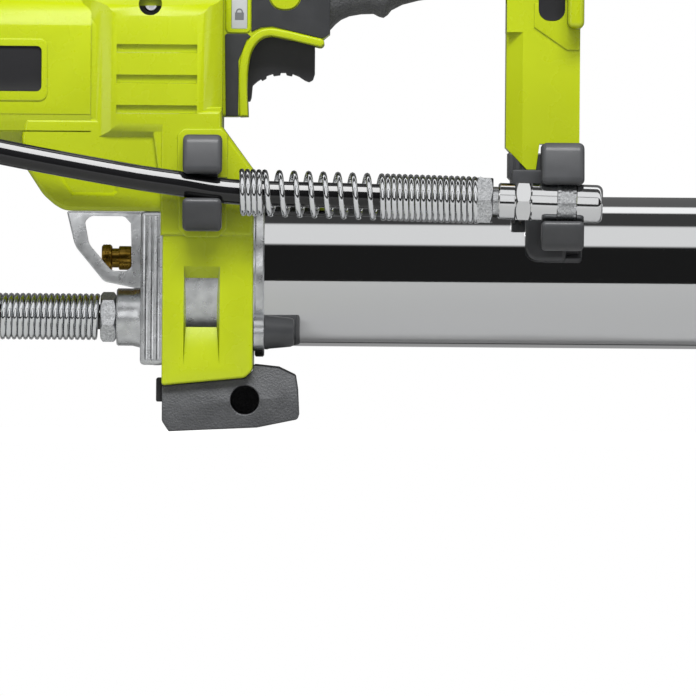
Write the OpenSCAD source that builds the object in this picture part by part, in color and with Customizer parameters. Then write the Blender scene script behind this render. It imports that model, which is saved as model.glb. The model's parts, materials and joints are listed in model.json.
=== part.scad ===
// Cordless cartridge grease gun. The origin is the centre of the barrel's front end.
// +X runs back along the barrel, -Y is the side with the hose, +Z is up.

/* [Barrel] */
// Outer radius of the cartridge barrel
barrel_r = 29; // [28.5:0.1:29.2]
// Wall thickness of the barrel
barrel_wall = 1.4; // [1:0.1:2]
// Length of the barrel behind the pump head
barrel_len = 265; // [250:1:290]
// Depth of the barrel's thread in the pump head
thread_depth = 12; // [8:1:12]
// Radius of the follower rod
rod_r = 3.5; // [3:0.1:4]

/* [Casing] */
// Height of the motor and gearbox axis
motor_z = 75.5; // [75:0.1:76]
// Radius of the round motor casing
nacelle_r = 33; // [32.5:0.1:33.5]
// Wall thickness of the casing
wall = 3; // [2.5:0.1:3.2]
// Half width of the strap around the pump head
strap_half = 35; // [34.8:0.1:36]
// Half width of the grip
grip_half = 18; // [17:0.1:19]
// Half width of the rear post
post_half = 20; // [19:0.1:21]

/* [Gearbox] */
// Teeth on each sun gear
sun_teeth = 12; // [12]
// Teeth on each planet gear
planet_teeth = 15; // [15]
// Gear module
gear_module = 1; // [1]
// Throw of the crank pin, half of the plunger's stroke
crank_throw = 5; // [4:0.5:5]
// Radius of the plunger
plunger_r = 4; // [3:0.1:4]

/* [Hose] */
// Outer diameter of the hose
hose_d = 9.6; // [9:0.1:10]
// Outer diameter of the spring guards
guard_d = 18; // [17:0.1:18.4]
// Length of each spring guard
guard_len = 90; // [85:1:90]
// Radius of the coupler's sleeve
sleeve_r = 7.2; // [7:0.1:7.2]

/* [Hidden] */
$fn = 48;

lime = "#bcc92b";
dark_grey = "#4a4a4c";
near_black = "#28282a";
cast_grey = "#b4b6b8";
steel = "#c8cacc";
brass = "#8f7434";
gap = 0.05;
cut = 60;

// Outlines in the XZ plane, anticlockwise.
strap_pts = [
    [-91, 46], [-90.9, 38.5], [-84.2, 28.1], [-79.5, 24], [-75.7, 22.1], [-38.5, 22.1],
    [-38.7, -44], [-7, -40.9], [-4.1, -38], [-4.1, 37.8], [-16.4, 54.5], [-16.4, 76.5], [-91, 76.5]
];
column_pts = [
    [-20, 58.6], [-10.4, 58.6], [-7, 60], [-6.8, 82], [-4.8, 88], [-0.6, 92], [21.9, 87.2],
    [24, 92], [24, 134], [16, 133.4], [2, 128], [-20, 108]
];
grip_pts = [
    [24, 92], [28.5, 96], [31.6, 97.4], [40.8, 98.7], [51.9, 102], [65.7, 104.8], [91.7, 105],
    [91.7, 134], [24, 134]
];
post_pts = [
    [91.7, 47.5], [99.7, 39.2], [103.2, 39.2], [104.5, 49], [119.7, 49], [119.7, 104], [91.7, 104]
];
column_hollow_pts = [[-17, 97], [-3, 97], [2, 95], [21, 91], [21, 130.8], [16, 130.3], [3, 125.3], [-17, 107]];
post_hollow_pts = [[94.7, 51.5], [101, 46], [101.6, 52], [116.7, 52], [116.7, 98], [94.7, 98]];
battery_pts = [[82, 105], [91.7, 105], [91.7, 103], [119.7, 103], [119.7, 143], [88, 143], [82, 137]];
foot_pts = [
    [-38.5, -57.5], [-35.9, -61.5], [-2.3, -59.8], [13, -56.6], [13.5, -55.5], [13, -45.9],
    [12.1, -40.3], [5.6, -37.6], [-2, -37.6], [-4, -36.2], [-4, -38.1], [-7, -41.1], [-38.5, -44.2]
];
bracket_pts = [
    [-57.2, -5.6], [-50, -7.1], [-46, -7.1], [-46, 22], [-75.7, 22], [-72.5, 8.7], [-61.3, -4.8]
];
bracket_hole_pts = [
    [-58.4, -0.7], [-52.5, -0.7], [-50.7, 1.1], [-51.2, 17.5], [-53.7, 20.2], [-66.6, 20.2],
    [-68.9, 18.1], [-67.2, 9.3]
];
trigger_pts = [
    [-6.4, 70.8], [-4.6, 71], [-2, 74], [2.5, 75.7], [8, 75.9], [12.5, 74.2], [16, 72.2], [18, 73.4],
    [18.5, 77], [16.6, 84.5], [15, 89], [-4, 89], [-6.4, 84]
];

// Unit vector along v.
function unit(v) = v / norm(v);

// Polygon p moved inwards by d, with mitred corners.
function inset(p, d) = [
    for (i = [0:len(p) - 1])
        let (a = p[(i + len(p) - 1) % len(p)], b = p[i], c = p[(i + 1) % len(p)])
        let (u = unit(b - a), v = unit(c - b), m = [-u.y, u.x], n = [-v.y, v.x])
        b + d / (1 + m * n) * (m + n)
];

// Extrudes an XZ outline from y0 up to y1.
module slab(pts, y0, y1) {
    translate([0, y1, 0]) rotate([90, 0, 0]) linear_extrude(y1 - y0) polygon(pts);
}

// Box from one corner to the opposite one.
module box(low, high) {
    translate(low) cube(high - low);
}

// Cylinder along X from x0 to x1, centred on y and z.
module rod_x(x0, x1, r, y = 0, z = 0, sides = 48) {
    translate([x0, y, z]) rotate([0, 90, 0]) cylinder(h = x1 - x0, r = r, $fn = sides);
}

// Prism of many flat sides along X from x0 to x1, round the height z. Its flats lie outside radius r.
module round_x(x0, x1, r, z) {
    sides = 40;
    corner = r / cos(180 / sides);
    points = [for (i = [0:sides - 1]) let (a = 360 * (i + 0.5) / sides) corner * [cos(a), sin(a)]];
    translate([x0, 0, z]) rotate([90, 0, 90]) linear_extrude(x1 - x0) polygon(points);
}

// Cylinder along Y from y0 to y1, centred on x and z.
module rod_y(y0, y1, r, x, z) {
    translate([x, y1, z]) rotate([90, 0, 0]) cylinder(h = y1 - y0, r = r);
}

// Upright cylinder from z0 to z1, centred on x and y.
module rod_z(z0, z1, r, x, y = 0) {
    translate([x, y, z0]) cylinder(h = z1 - z0, r = r);
}

// ---- Casing ----
nacelle_x0 = -144;
nacelle_x1 = -16;
// Casing screws: X, Z, depth of the head's seat, radius of the boss.
lug_screw = [-44, 100.9, 18];
shell_screws = [[-122, 102, 17, 3.2], [-122, 49, 17, 3.2], [38, 117, 13, 4.2], [74, 119, 13, 4.2]];
screw_r = 2;
head_r = 4;
head_h = 2.4;
lug_half = 13;
lug_r = 4.2;
chamber_r = 31.6;
lock_place = [-3, 112];
lock_r = 4.5;
socket_low = [86, -15, 102];
socket_high = [cut * 3, 15, 138];

module casing_solid() {
    round_x(nacelle_x0, nacelle_x1, nacelle_r, motor_z);
    round_x(-56, nacelle_x1, nacelle_r + 1.5, motor_z);
    slab(strap_pts, -strap_half, 0);
    slab(column_pts, -grip_half, 0);
    slab(inset(grip_pts, 2.5), 2.5 - grip_half, 0);
    box([20, 2.5 - grip_half, 98], [30, 0, 131.5]);
    slab(post_pts, -post_half, 0);
    slab(battery_pts, -post_half, 0);
    box([114.7, -32, 92.7], [121, 0, 146]);
}

module casing_hollow() {
    round_x(nacelle_x0 - 1, nacelle_x1 - wall, nacelle_r - wall, motor_z);
    slab(inset(strap_pts, wall), wall - strap_half, 1);
    slab(column_hollow_pts, wall - grip_half, 1);
    slab(inset(grip_pts, wall + 2.5), wall + 2.5 - grip_half, 1);
    box([16, -8.6, 106], [34, 1, 127.5]);
    box([-28, -6, 94], [-12, 1, 103]);
    slab(post_hollow_pts, wall - post_half, 1);
    box(socket_low, socket_high);
    // The pump head, its barrel thread and its square back pass through the strap.
    round_x(-37, -2, chamber_r, 0);
    box([-48, -24.4, -36.4], [-34, 1, 21.9]);
    // Trigger slot, window in the strap, lock button hole.
    box([-6.7, -8.8, 58], [21.5, 1, 104]);
    box([-29, -cut, -35], [-18.4, -30, 0]);
    rod_y(-cut, 1, lock_r + 0.3, lock_place.x, lock_place.y);
}

// One half of the casing, on the -Y side. Only the half with the screw heads is open to them.
module housing_half(heads) {
    difference() {
        union() {
            difference() {
                casing_solid();
                casing_hollow();
            }
            for (p = shell_screws)
                rod_y(-p[2] - 0.5, 1, p[3], p.x, p.y);
        }
        box([-cut * 4, 0, -cut * 2], [cut * 4, cut * 2, cut * 4]);
        for (p = shell_screws) {
            rod_y(-11, 1, screw_r + gap, p.x, p.y);
            if (heads) {
                rod_y(-p[2] - 1, 1, screw_r + gap, p.x, p.y);
                rod_y(-cut, -p[2], head_r + 0.2, p.x, p.y);
            }
        }
        // Room for the gearbox lug, its screw and the head.
        rod_y(-lug_half - 0.1, 1, lug_r + 0.2, lug_screw.x, lug_screw.y);
        rod_y(-cut, 1, screw_r + gap, lug_screw.x, lug_screw.y);
        rod_y(-cut, -lug_screw[2], head_r + 0.4, lug_screw.x, lug_screw.y);
        // Recesses for the name plate, the badge and the icon plate.
        box([-131, -cut, 67.3], [-85.1, -nacelle_r + 1.6, 84.6]);
        box([103.7, -cut, 96.5], [113.9, -post_half + 1, 122]);
        box([-13.7, -cut, 91.6], [-7, -grip_half + 1, 104]);
        // Grooves in the gearbox panel.
        for (z = [60.45, 72, 83.55])
            box([-56.1, -cut, z - 1.9], [-26.1, -strap_half + 0.8, z + 1.9]);
    }
}

module housing_near() {
    color(lime) housing_half(true);
}

module housing_far() {
    color(lime) mirror([0, 1, 0]) housing_half(false);
}

module end_cap() {
    color(lime)
    difference() {
        union() {
            rod_x(nacelle_x0 - 5, nacelle_x0, nacelle_r - 1.5, 0, motor_z, 96);
            rod_x(nacelle_x0, nacelle_x0 + 4, nacelle_r - wall - 0.3, 0, motor_z, 96);
        }
        for (z = [-15:6:15])
            box([nacelle_x0 - cut, -14, motor_z + z - 1.2], [nacelle_x0 + cut, 14, motor_z + z + 1.2]);
    }
}

module grip_half_cover(heads) {
    difference() {
        slab(grip_pts, -grip_half, 0);
        slab(inset(grip_pts, 2.5), 2.5 - grip_half, 1);
        box([20, 2.5 - grip_half, 94], [30, 1, 131.5]);
        slab(inset(battery_pts, -0.02), -cut, 1);
        if (heads)
            for (p = shell_screws)
                rod_y(-cut, -10, head_r + 0.3, p.x, p.y);
    }
}

module grip_near() {
    color(dark_grey) grip_half_cover(true);
}

module grip_far() {
    color(dark_grey) mirror([0, 1, 0]) grip_half_cover(false);
}

module icon_plate() {
    color("silver") box([-13.6, -grip_half - 0.1, 91.7], [-7.1, -grip_half + 1, 103.9]);
}

module name_plates() {
    color(near_black)
    for (side = [0, 1])
        mirror([0, side, 0]) box([-131, -nacelle_r + 0.5, 67.3], [-85.1, -nacelle_r + 1.6, 84.6]);
}

module badge_plates() {
    color(near_black)
    for (side = [0, 1])
        mirror([0, side, 0]) box([103.8, -post_half + 0.1, 96.6], [113.8, -post_half + 1, 121.9]);
}

module casing_screw(place, tip_y) {
    rod_y(-place[2], tip_y, screw_r, place.x, place.y);
    rod_y(-place[2] - head_h, -place[2], head_r, place.x, place.y);
}

module housing_screws() {
    color(near_black) {
        for (p = shell_screws)
            casing_screw(p, 10);
        casing_screw(lug_screw, -8);
        mirror([0, 1, 0]) casing_screw(lug_screw, -8);
    }
}

// ---- Foot and clips ----
foot_half = 34;
foot_hole = [-7, -49.4];
foot_hole_r = 5.5;
foot_web = 4;
hose_y = -46;
line_tilt = 1.46;

// Height of the stretch of hose that is clipped along the gun.
function line_z(x) = 29.35 - x * tan(line_tilt);

// Puts its children, built along +X from 0, on the clipped stretch of hose at x.
module on_line(x) {
    translate([x, hose_y, line_z(x)]) rotate([0, line_tilt, 0]) children();
}

module foot() {
    color(dark_grey)
    difference() {
        slab(foot_pts, -foot_half, foot_half);
        // One blind hole from each side, with a web between them.
        for (side = [0, 1])
            mirror([0, side, 0])
                rod_y(-foot_half - 1, -foot_web / 2, foot_hole_r, foot_hole.x, foot_hole.y);
        for (x = [-31, -20]) {
            rod_z(-65, -40, screw_r + gap, x);
            rod_z(-65, -57, 4.3, x);
        }
    }
}

module foot_tab() {
    color(near_black) box([-41.2, -9, -50.6], [-38.5, 9, -44.4]);
}

module foot_screws() {
    color(near_black)
    for (x = [-31, -20]) {
        rod_z(-57, -44.5, screw_r, x);
        rod_z(-59.2, -57, 4, x);
    }
}

module front_clip() {
    jaw = [-31, -16.2];
    color(dark_grey)
    difference() {
        union() {
            box([jaw[0], -39, 14.7], [jaw[1], -strap_half - 0.05, 51.3]);
            box([jaw[0], -54, 36.3], [jaw[1], -38, 51.3]);
            box([jaw[0], -54, 14.7], [jaw[1], -38, 27.4]);
            box([jaw[0], -43.5, 25], [jaw[1], -38, 38]);
        }
        translate([-23.6, hose_y, 31.5]) rotate([0, 5, 0]) rod_x(-20, 20, 5.5);
    }
}

module rear_clip() {
    color(dark_grey)
    difference() {
        union() {
            box([92.7, 0.1 - post_half, 34.2], [105, post_half - 0.1, 45.4]);
            box([104.9, -54, 32.5], [121.1, -post_half, 48.9]);
            box([104.9, -54, 8.3], [121.1, -36, 20.2]);
            box([104.9, -38.4, 8.3], [121.1, -31, 48.9]);
            box([94, -31.5, 28], [119, 31.5, 39]);
            box([99.2, -32.5, 4.5], [114.6, 32.5, 30]);
        }
        rod_x(90, 125, barrel_r + 0.4, 0, 0, 96);
        slab(inset(post_pts, -0.05), -post_half - 0.05, post_half + 0.05);
        on_line(100) rod_x(-2, 30, sleeve_r + 0.3);
    }
}

// ---- Trigger, switch and lock ----
module trigger() {
    color(near_black)
    difference() {
        slab(trigger_pts, -8.3, 8.3);
        rod_z(86, 92, 3.3, 8);
    }
}

module trigger_spring() {
    color(steel)
    difference() {
        rod_z(86.1, 106.9, 3, 8);
        rod_z(85, 108, 2.2, 8);
    }
}

module switch_body() {
    color(near_black)
    union() {
        box([3, -8, 107], [30, 8, 125]);
        rod_z(100.2, 107, 1.6, 8);
    }
}

module lock_button() {
    color(near_black)
    rod_y(-grip_half - 3.5, grip_half - 1.5, lock_r, lock_place.x, lock_place.y);
}

module circuit_board() {
    color("darkgreen")
    union() {
        box([96, -0.8, 56], [115, 0.8, 98]);
        for (z = [62, 74])
            box([99, 0.8, z], [109, 7, z + 8]);
    }
}

module battery_terminals() {
    color(brass)
    for (y = [-8, 0, 8])
        box([86.1, y - 0.5, 112], [102, y + 0.5, 124]);
}

// ---- Motor and gears ----
// Involute of a circle of radius base at unroll angle t.
function involute_angle(a) = tan(a) * 180 / PI - a;

// Half angle of a tooth at radius r. thin is taken off each flank, along the pitch circle.
function tooth_half(teeth, r, thin) =
    let (pitch = gear_module * teeth / 2, base = pitch * cos(25))
    90 / teeth - thin / pitch * 180 / PI + involute_angle(25) - involute_angle(acos(min(1, base / r)));

// Outline of a gear whose teeth run from radius low to radius high, with a tooth at angle 0.
function gear_points(teeth, low, high, thin) =
    let (pitch = gear_module * teeth / 2, base = pitch * cos(25), start = max(low, base))
    let (mid = (start + high) / 2, reach = [start, mid, high])
    [for (i = [0:teeth - 1])
        let (a = 360 * i / teeth, root = tooth_half(teeth, start, thin))
        each concat(
            low < start ? [low * [cos(a - root), sin(a - root)]] : [],
            [for (r = reach) let (h = tooth_half(teeth, r, thin)) r * [cos(a - h), sin(a - h)]],
            [for (k = [2:-1:0])
                let (r = reach[k], h = tooth_half(teeth, r, thin)) r * [cos(a + h), sin(a + h)]],
            low < start ? [low * [cos(a + root), sin(a + root)]] : []
        )
    ];

ring_teeth = sun_teeth + 2 * planet_teeth;
orbit_r = gear_module * (sun_teeth + planet_teeth) / 2;
backlash = 0.05;
planet_pin_r = 2;
stage1_x = [-72, -63];
stage2_x = [-57.5, -49];
planet_turn = 168;

// Spur gear along X from x0 to x1 on the motor's axis.
module gear_x(teeth, x0, x1) {
    pitch = gear_module * teeth / 2;
    translate([x0, 0, motor_z]) rotate([90, 0, 90]) linear_extrude(x1 - x0)
        polygon(gear_points(teeth, pitch - 1.25 * gear_module, pitch + 0.9 * gear_module, backlash));
}

// Turns its children about the motor's axis.
module about_motor(angle) {
    translate([0, 0, motor_z]) rotate([angle, 0, 0]) translate([0, 0, -motor_z]) children();
}

module planet(index, span) {
    color(steel)
    about_motor(120 * (index - 1))
    translate([0, orbit_r, 0])
    difference() {
        about_motor(planet_turn) gear_x(planet_teeth, span[0], span[1]);
        rod_x(span[0] - 1, span[1] + 1, planet_pin_r + gap, 0, motor_z);
    }
}

module carrier(disc_x, pin_x) {
    rod_x(disc_x[0], disc_x[1], 18, 0, motor_z);
    for (i = [0:2])
        about_motor(120 * i) rod_x(pin_x, disc_x[0] + 1, planet_pin_r, orbit_r, motor_z);
}

module stage1_planet_1() { planet(1, stage1_x); }
module stage1_planet_2() { planet(2, stage1_x); }
module stage1_planet_3() { planet(3, stage1_x); }
module stage2_planet_1() { planet(1, stage2_x); }
module stage2_planet_2() { planet(2, stage2_x); }
module stage2_planet_3() { planet(3, stage2_x); }

module stage1_carrier() {
    color(steel)
    union() {
        carrier([-62.7, -60], stage1_x[0]);
        rod_x(-60.5, -57.5, 4.5, 0, motor_z);
        gear_x(sun_teeth, -57.6, -49);
    }
}

module output_crank() {
    color(steel)
    union() {
        carrier([-48.5, -44.6], stage2_x[0]);
        rod_x(-45, -32, 6, 0, motor_z);
        rod_x(-32.7, -29.7, 11, 0, motor_z);
        rod_x(-30, -27.7, 3, crank_throw, motor_z);
    }
}

module ring_gear() {
    pitch = gear_module * ring_teeth / 2;
    color(steel)
    difference() {
        rod_x(-73.5, -44.4, 24.5, 0, motor_z, 96);
        translate([-80, 0, motor_z]) rotate([90, 0, 90]) linear_extrude(40)
            polygon(gear_points(ring_teeth, pitch - 0.8 * gear_module, pitch + 1.25 * gear_module, -backlash));
    }
}

module gearbox_case() {
    color(cast_grey)
    difference() {
        union() {
            rod_x(-76, -33, 26, 0, motor_z, 96);
            rod_y(-lug_half, lug_half, lug_r, lug_screw.x, lug_screw.y);
        }
        rod_y(-cut, cut, screw_r + gap, lug_screw.x, lug_screw.y);
        rod_x(-73.6, -44.3, 24.6, 0, motor_z, 96);
        rod_x(-80, -70, 8, 0, motor_z);
        rod_x(-42, -30, 11.05, 0, motor_z);
        rod_x(-50, -30, 8.5, 0, motor_z);
    }
}

module crank_bearing() {
    color(brass)
    difference() {
        rod_x(-41.9, -33, 11, 0, motor_z);
        rod_x(-50, -30, 6 + gap, 0, motor_z);
    }
}

module motor_can() {
    color("gray")
    difference() {
        rod_x(-136, -86, 22, 0, motor_z, 96);
        rod_x(-134, -88, 19.5, 0, motor_z, 96);
        rod_x(-140, -80, 3, 0, motor_z);
        for (a = [45:90:315])
            about_motor(a) rod_x(-89, -80, 3, 12, motor_z);
    }
}

module rotor() {
    color(steel)
    union() {
        rod_x(-139, -62.9, 2.5, 0, motor_z);
        rod_x(-126, -94, 17, 0, motor_z);
        rod_x(-132, -127, 8, 0, motor_z);
    }
}

module cooling_fan() {
    color(near_black)
    difference() {
        union() {
            rod_x(-84, -83, 20, 0, motor_z);
            rod_x(-84, -79, 5, 0, motor_z);
            for (a = [0:30:330])
                about_motor(a) box([-84, 4, motor_z - 0.6], [-79, 20, motor_z + 0.6]);
        }
        rod_x(-90, -70, 2.5, 0, motor_z);
    }
}

module motor_pinion() {
    color(steel)
    difference() {
        gear_x(sun_teeth, -72.5, -63);
        rod_x(-80, -50, 2.5, 0, motor_z);
    }
}

// ---- Pump ----
pump_x = -24.5;
outlet_z = -18.4;
bleed_y = 3;
bleed_z = 4.2;
head_neck_top = 45;
filler_place = [-27.5, -23.5];

module yoke() {
    color(steel)
    difference() {
        union() {
            box([pump_x - 2.7, -14, motor_z - 9], [pump_x + 2.5, 14, motor_z + 9]);
            rod_z(motor_z - 17, motor_z - 8, 5, pump_x);
        }
        box([pump_x - 4, -8.6, motor_z - 3.4], [pump_x + 4, 8.6, motor_z + 3.4]);
        rod_z(motor_z - 20, motor_z - 9.5, plunger_r + 0.01, pump_x);
    }
}

module plunger() {
    color(steel) rod_z(-8, motor_z - 9.6, plunger_r, pump_x);
}

module plunger_gland() {
    color(brass)
    difference() {
        rod_z(head_neck_top, head_neck_top + 4, 7.5, pump_x);
        rod_z(0, 80, plunger_r + gap, pump_x);
    }
}

module pump_head() {
    color(cast_grey)
    difference() {
        union() {
            rod_x(-36, -3.5, 31, 0, 0, 96);
            rod_x(-3.8, 0, 33.2, 0, 0, 96);
            rod_x(-3.8, 0, 7.2, filler_place.x, filler_place.y);
            box([-47, -24, -36], [-34, 24, 22]);
            rod_x(-56.6, -40, 11, 0, outlet_z);
            rod_x(-51, -40, 6, bleed_y, bleed_z);
            difference() {
                slab(bracket_pts, -13, -6);
                slab(bracket_hole_pts, -14, -5);
            }
            rod_z(20, head_neck_top, 11, pump_x);
        }
        // Flutes down the side of the square back.
        for (x = [-45.6:2.2:-39])
            box([x, -24.5, -33], [x + 1.2, -23, 20]);
        // Barrel thread, pump bore, inlet, outlet and bleed passages.
        rod_x(-14.2, 1, barrel_r + gap, 0, 0, 96);
        rod_z(-22, cut, plunger_r + gap, pump_x);
        rod_x(pump_x, 0, 2.5, 0, -6);
        rod_x(-34, pump_x, 2.5, 0, outlet_z);
        rod_x(-cut, -32, 4.5, 0, outlet_z);
        rod_x(-cut, -38, 3.05, bleed_y, bleed_z);
        rod_x(-cut, 1, 2, filler_place.x, filler_place.y);
    }
}

module check_ball() {
    color(steel) translate([-35, 0, outlet_z]) sphere(r = 3.6);
}

module check_spring() {
    color(steel)
    difference() {
        rod_x(-50, -38.8, 3.4, 0, outlet_z);
        rod_x(-51, -38, 2.6, 0, outlet_z);
    }
}

module bleed_valve() {
    color(brass)
    union() {
        rod_x(-62.6, -58.4, 5.2, bleed_y, bleed_z);
        rod_x(-58.6, -55.9, 3.7, bleed_y, bleed_z);
        rod_x(-56, -51.2, 4.6, bleed_y, bleed_z);
        rod_x(-52, -40, 3, bleed_y, bleed_z);
    }
}

module filler_nipple() {
    color(steel)
    difference() {
        rod_x(0, 8.5, 3, filler_place.x, filler_place.y);
        rod_x(-1, 10, 1.2, filler_place.x, filler_place.y);
    }
}

module filler_cap() {
    color(dark_grey)
    translate([0.1, filler_place.x, filler_place.y]) rotate([0, 90, 0])
    difference() {
        rotate_extrude() polygon([[0, 0], [6.6, 0], [6.5, 1.6], [5.6, 11], [5, 11.5], [0, 11.5]]);
        translate([0, 0, -1]) cylinder(h = 10, r = 3.3);
    }
}

// ---- Barrel and follower ----
cup_x = 30;
spring_back_x = barrel_len - 7;

module barrel_gasket() {
    color(near_black)
    difference() {
        rod_x(-thread_depth - 2, -thread_depth, barrel_r - 0.3, 0, 0, 96);
        rod_x(-20, 0, 22, 0, 0, 96);
    }
}

module barrel_tube() {
    color("gainsboro")
    difference() {
        rod_x(-thread_depth, barrel_len, barrel_r, 0, 0, 96);
        rod_x(-20, barrel_len + 1, barrel_r - barrel_wall, 0, 0, 96);
    }
}

module barrel_cap() {
    color(steel)
    difference() {
        rod_x(barrel_len - 14, barrel_len + 5, barrel_r + 2.5, 0, 0, 96);
        rod_x(barrel_len - 20, barrel_len, barrel_r + gap, 0, 0, 96);
        rod_x(barrel_len - 1, barrel_len + 10, rod_r + gap);
    }
}

module follower_cup() {
    color(near_black)
    difference() {
        union() {
            rod_x(cup_x, cup_x + 3, barrel_r - barrel_wall - 0.35, 0, 0, 96);
            rod_x(cup_x, cup_x + 14, 20, 0, 0, 96);
        }
        rod_x(cup_x + 4, cup_x + 20, 17, 0, 0, 96);
        rod_x(0, 100, rod_r + gap);
    }
}

module follower_spring() {
    color(steel)
    difference() {
        rod_x(cup_x + 3.2, spring_back_x, 25, 0, 0);
        rod_x(cup_x, spring_back_x + 10, 22.5, 0, 0);
    }
}

module follower_rod() {
    color(steel)
    union() {
        rod_x(20, barrel_len + 12, rod_r);
        rod_y(-30, 30, rod_r + 0.6, barrel_len + 15, 0);
    }
}

// ---- Hose and coupler ----
hose_route = [
    [-60, 0, -18.4], [-110, 0, -18.4], [-154, 0, -18.8], [-190, -2, -27], [-224, -6, -43], [-256, -11, -54],
    [-290, -17, -47], [-315, -22, -22], [-322, -27, 12], [-312, -32, 46], [-286, -37, 71],
    [-254, -42, 80], [-220, -45, 75], [-186, -46, 65], [-150, -46, 55], [-102, -46, 44.5], [-55, -46, 36],
    [-32, -46, 32.6], [-10, -46, 29.6], [35, -46, 28.5], [81, -46, 27.3]
];
steps_per_span = 3;

// Point at fraction t of the span that starts at route point i, on a Catmull-Rom curve.
function curve(i, t) =
    let (last = len(hose_route) - 1)
    let (p0 = hose_route[max(0, i - 1)], p1 = hose_route[i])
    let (p2 = hose_route[min(last, i + 1)], p3 = hose_route[min(last, i + 2)])
    0.5 * (2 * p1 + (p2 - p0) * t + (2 * p0 - 5 * p1 + 4 * p2 - p3) * t * t
        + (3 * p1 - p0 - 3 * p2 + p3) * t * t * t);

hose_line = concat(
    [for (i = [0:len(hose_route) - 2], k = [0:steps_per_span - 1]) curve(i, k / steps_per_span)],
    [hose_route[len(hose_route) - 1]]
);

// Ring of points round the line at point i.
function ring_at(line, i, r, sides) =
    let (ahead = unit(line[min(len(line) - 1, i + 1)] - line[max(0, i - 1)]))
    let (across = unit(cross(ahead, [0, 1, 0])), up = cross(across, ahead))
    [for (k = [0:sides - 1]) line[i] + r * (cos(360 * k / sides) * across + sin(360 * k / sides) * up)];

module tube_along(line, r, sides) {
    points = [for (i = [0:len(line) - 1]) each ring_at(line, i, r, sides)];
    last = len(line) - 1;
    walls = [for (i = [0:last - 1], k = [0:sides - 1])
        let (n = (k + 1) % sides)
        [i * sides + k, i * sides + n, (i + 1) * sides + n, (i + 1) * sides + k]];
    ends = [[for (k = [sides - 1:-1:0]) k], [for (k = [0:sides - 1]) last * sides + k]];
    polyhedron(points = points, faces = concat(walls, ends), convexity = 10);
}

module hose() {
    color(near_black) tube_along(hose_line, hose_d / 2, 10);
}

// Hexagonal prism along X from x0 to x1, with its flats facing -Y and +Y.
module hex_x(x0, x1, flats) {
    translate([x0, 0, 0]) rotate([0, 90, 0]) cylinder(h = x1 - x0, r = flats / sqrt(3), $fn = 6);
}

module guard_front() {
    color(steel)
    translate([0, 0, outlet_z])
    difference() {
        rod_x(-62.9 - guard_len, -62.9, guard_d / 2);
        rod_x(-200, 0, hose_d / 2 + 0.7);
    }
}

module guard_rear() {
    color(steel)
    on_line(-10)
    difference() {
        rod_x(0, guard_len - 0.4, guard_d / 2);
        rod_x(-1, 100, hose_d / 2 + 0.7);
    }
}

module hose_nut_front() {
    color(steel)
    translate([0, 0, outlet_z])
    difference() {
        union() {
            rotate([18, 0, 0]) hex_x(-62.8, -56.7, 17);
            rod_x(-57, -50.1, 4.4);
        }
        rod_x(-cut - 10, -59.9, hose_d / 2 + 0.05);
        rod_x(-cut - 10, 0, 2);
    }
}

module hose_nut_rear() {
    color(steel)
    on_line(79.8)
    difference() {
        union() {
            hex_x(0, 6.7, 17);
            rod_x(6.6, 8.7, 5.3);
        }
        rod_x(-1, 1.4, hose_d / 2 + 0.15);
    }
}

module coupler_body() {
    color(steel)
    on_line(88.5)
    union() {
        rod_x(0.01, 6.8, 6.8);
        hex_x(6.7, 12.3, 14);
        rod_x(12.2, 30, 4.6);
    }
}

module coupler_sleeve() {
    color(steel)
    on_line(100.85)
    difference() {
        rotate([0, 90, 0]) rotate_extrude(convexity = 6)
            polygon([
                [4.65, 0], [6.9, 0], [sleeve_r, 0.8], [sleeve_r, 25], [6.6, 26.6], [5, 27.2],
                [3.4, 27.2], [3.4, 25.6], [6, 25.6], [6, 18.5], [4.65, 18.5]
            ]);
    }
}

module coupler_jaws() {
    color(steel)
    on_line(119.6)
    difference() {
        rod_x(0.2, 6.6, 5.6);
        rod_x(-1, 10, 3.2);
        box([-1, -0.4, -8], [10, 0.4, 8]);
        box([-1, -8, -0.4], [10, 8, 0.4]);
    }
}

housing_near();
housing_far();
end_cap();
grip_near();
grip_far();
icon_plate();
name_plates();
badge_plates();
housing_screws();
foot();
foot_tab();
foot_screws();
front_clip();
rear_clip();
trigger();
trigger_spring();
switch_body();
lock_button();
circuit_board();
battery_terminals();
motor_can();
rotor();
cooling_fan();
motor_pinion();
gearbox_case();
ring_gear();
stage1_carrier();
stage1_planet_1();
stage1_planet_2();
stage1_planet_3();
output_crank();
stage2_planet_1();
stage2_planet_2();
stage2_planet_3();
crank_bearing();
yoke();
plunger();
plunger_gland();
pump_head();
check_ball();
check_spring();
bleed_valve();
filler_nipple();
filler_cap();
barrel_gasket();
barrel_tube();
barrel_cap();
follower_cup();
follower_spring();
follower_rod();
hose();
guard_front();
guard_rear();
hose_nut_front();
hose_nut_rear();
coupler_body();
coupler_sleeve();
coupler_jaws();
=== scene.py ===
import json
import math

import bmesh
import bpy
from mathutils import Matrix, Vector


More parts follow.
